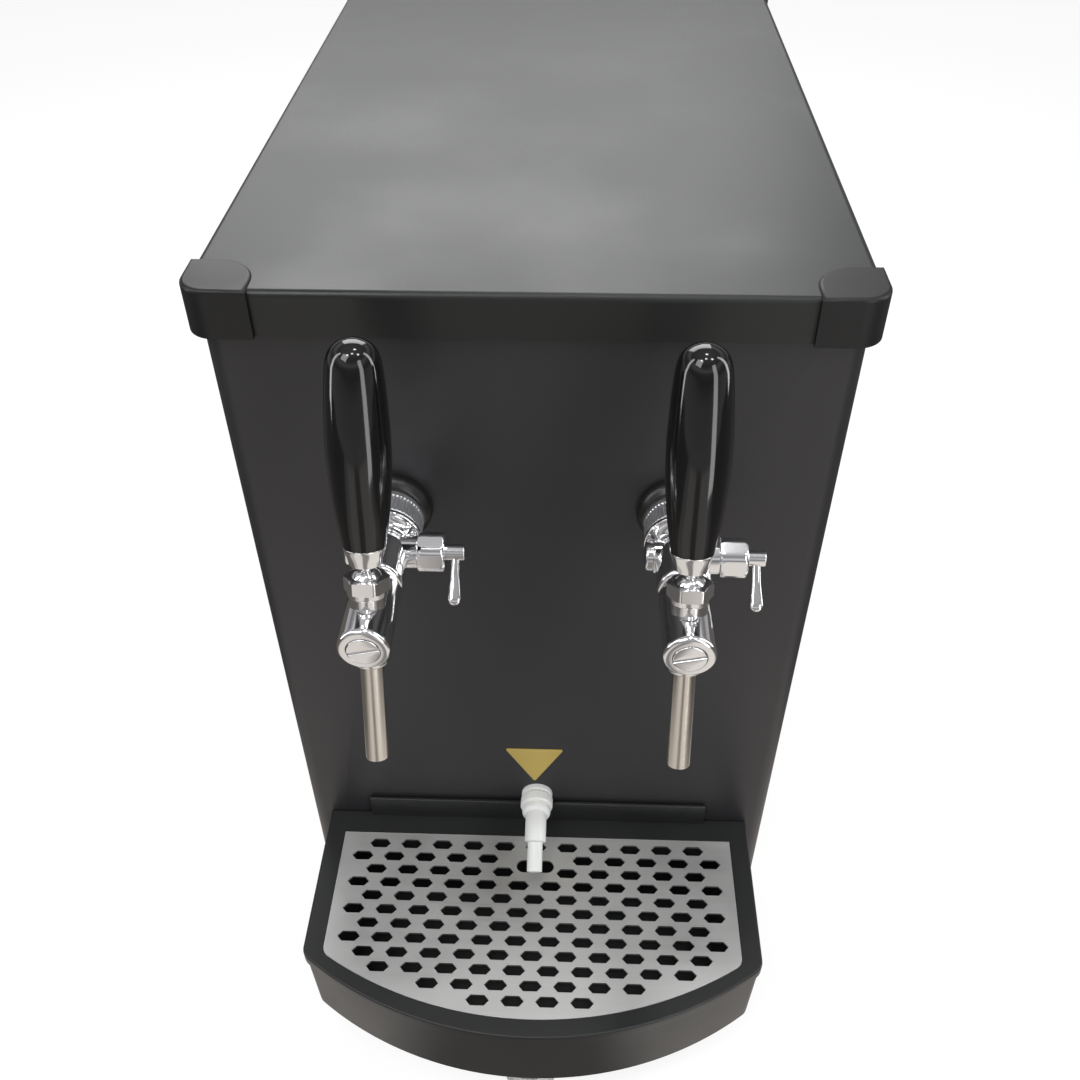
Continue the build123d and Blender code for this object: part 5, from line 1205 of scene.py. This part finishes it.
    def camera(self) -> None:
        """Place the camera at the given yaw, downward pitch and roll."""
        data = bpy.data.cameras.new("camera")
        data.sensor_width = 36.0
        data.lens = self.lens
        data.clip_start = 0.01
        yaw, pitch = math.radians(self.yaw), math.radians(self.pitch)
        level = math.cos(pitch)
        forward = np.array([math.sin(yaw) * level, math.cos(yaw) * level, -math.sin(pitch)])
        camera = bpy.data.objects.new("camera", data)
        camera.matrix_world = facing(self.camera_place, forward, math.radians(self.roll))
        bpy.context.scene.collection.objects.link(camera)
        bpy.context.scene.camera = camera


def add_mirrored_floor(tree: Tree, seen: Node,
                       rays: Node) -> Node:
    """Give mirrors a warm striped floor, so that plated pieces show light and dark bands.

    The stripes follow x over a reach. It has its least value behind the origin and grows by the
    distance in front of it, so they fan out forwards; far in front they fade into an even floor.

    Args:
        tree: the floor's node tree.
        seen: the shader that every other ray meets.
        rays: the tree's light path node.

    Returns:
        The node of the finished shader.
    """
    place, split, glow, mix = (add_node(tree, kind) for kind in (
        "TexCoord", "SeparateXYZ", "Emission", "MixShader"))
    near = add_node(tree, "Math", {1: 0.0}, operation="MINIMUM")
    reach = add_node(tree, "Math", {0: FAN_REACH}, operation="SUBTRACT")
    fan = add_node(tree, "Math", operation="DIVIDE")
    across = add_node(tree, "MapRange", {"From Min": -FAN_HALF, "From Max": FAN_HALF})
    ramp = add_ramp(tree, (
        (0.0, 0.12), (0.21, 0.15), (0.24, 0.50), (0.29, 0.50), (0.32, 0.80), (0.43, 0.80),
        (0.46, 0.26), (0.53, 0.26), (0.56, 0.85), (0.72, 0.85), (0.75, 0.40), (0.79, 0.36),
        (0.83, 0.14), (1.0, 0.12)), (1.0, 0.94, 0.88))
    depth = add_node(tree, "MapRange", {"From Min": FADE_START, "From Max": FADE_END})
    blend = add_node(tree, "Mix", {"B": (0.34, 0.32, 0.30, 1.0)}, data_type="RGBA")
    wire(tree, (place, "Object", split, "Vector"), (split, "Y", near, 0), (near, "Value", reach, 1),
         (split, "X", fan, 0), (reach, "Value", fan, 1), (fan, "Value", across, "Value"),
         (across, "Result", ramp, "Fac"), (ramp, "Color", blend, "A"), (split, "Y", depth, "Value"),
         (depth, "Result", blend, "Factor"), (blend, "Result", glow, "Color"),
         (rays, "Is Glossy Ray", mix, "Fac"), (seen, "Shader", mix, 1), (glow, "Emission", mix, 2))
    return mix


def facing(place: Point, forward: Array, roll: float) -> Matrix:
    """Matrix of a camera or lamp: its third column points away from what it looks at.

    Args:
        place: where it stands.
        forward: the direction in which it looks.
        roll: the turn about that direction, in radians.

    Returns:
        The object's world matrix.
    """
    ahead = forward / np.linalg.norm(forward)
    right = np.cross(ahead, np.array([0.0, 0.0, 1.0]))
    right /= np.linalg.norm(right)
    up = np.cross(right, ahead)
    across = math.cos(roll) * right + math.sin(roll) * up
    upwards = -math.sin(roll) * right + math.cos(roll) * up
    matrix = np.eye(4)
    matrix[:3] = np.stack([across, upwards, -ahead, place], 1)
    return Matrix(matrix.tolist())


def dress_nodes(nodes: dict[str, Any]) -> None:
    """Give every CAD node the finish of its record slot."""
    for name, node in nodes.items():
        finish = NODE_FINISH.get(name) or NODE_FINISH[name.rsplit("_", 1)[0]]
        node.data.materials.clear()
        node.data.materials.append(finish.material())
        LOG.info("%s: %s", name, finish.name)


def main() -> None:
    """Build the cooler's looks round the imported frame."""
    logging.basicConfig(level=logging.INFO, format="%(name)s: %(message)s")
    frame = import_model()
    Studio().build()
    dress_nodes(frame["nodes"])
    Cabinet().build()
    Lid().build()
    DripStation().build()
    Tap("left", -0.073, carries_shared=True).build()
    Tap("right", 0.073).build()
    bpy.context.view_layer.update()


if __name__ == "__main__":
    main()
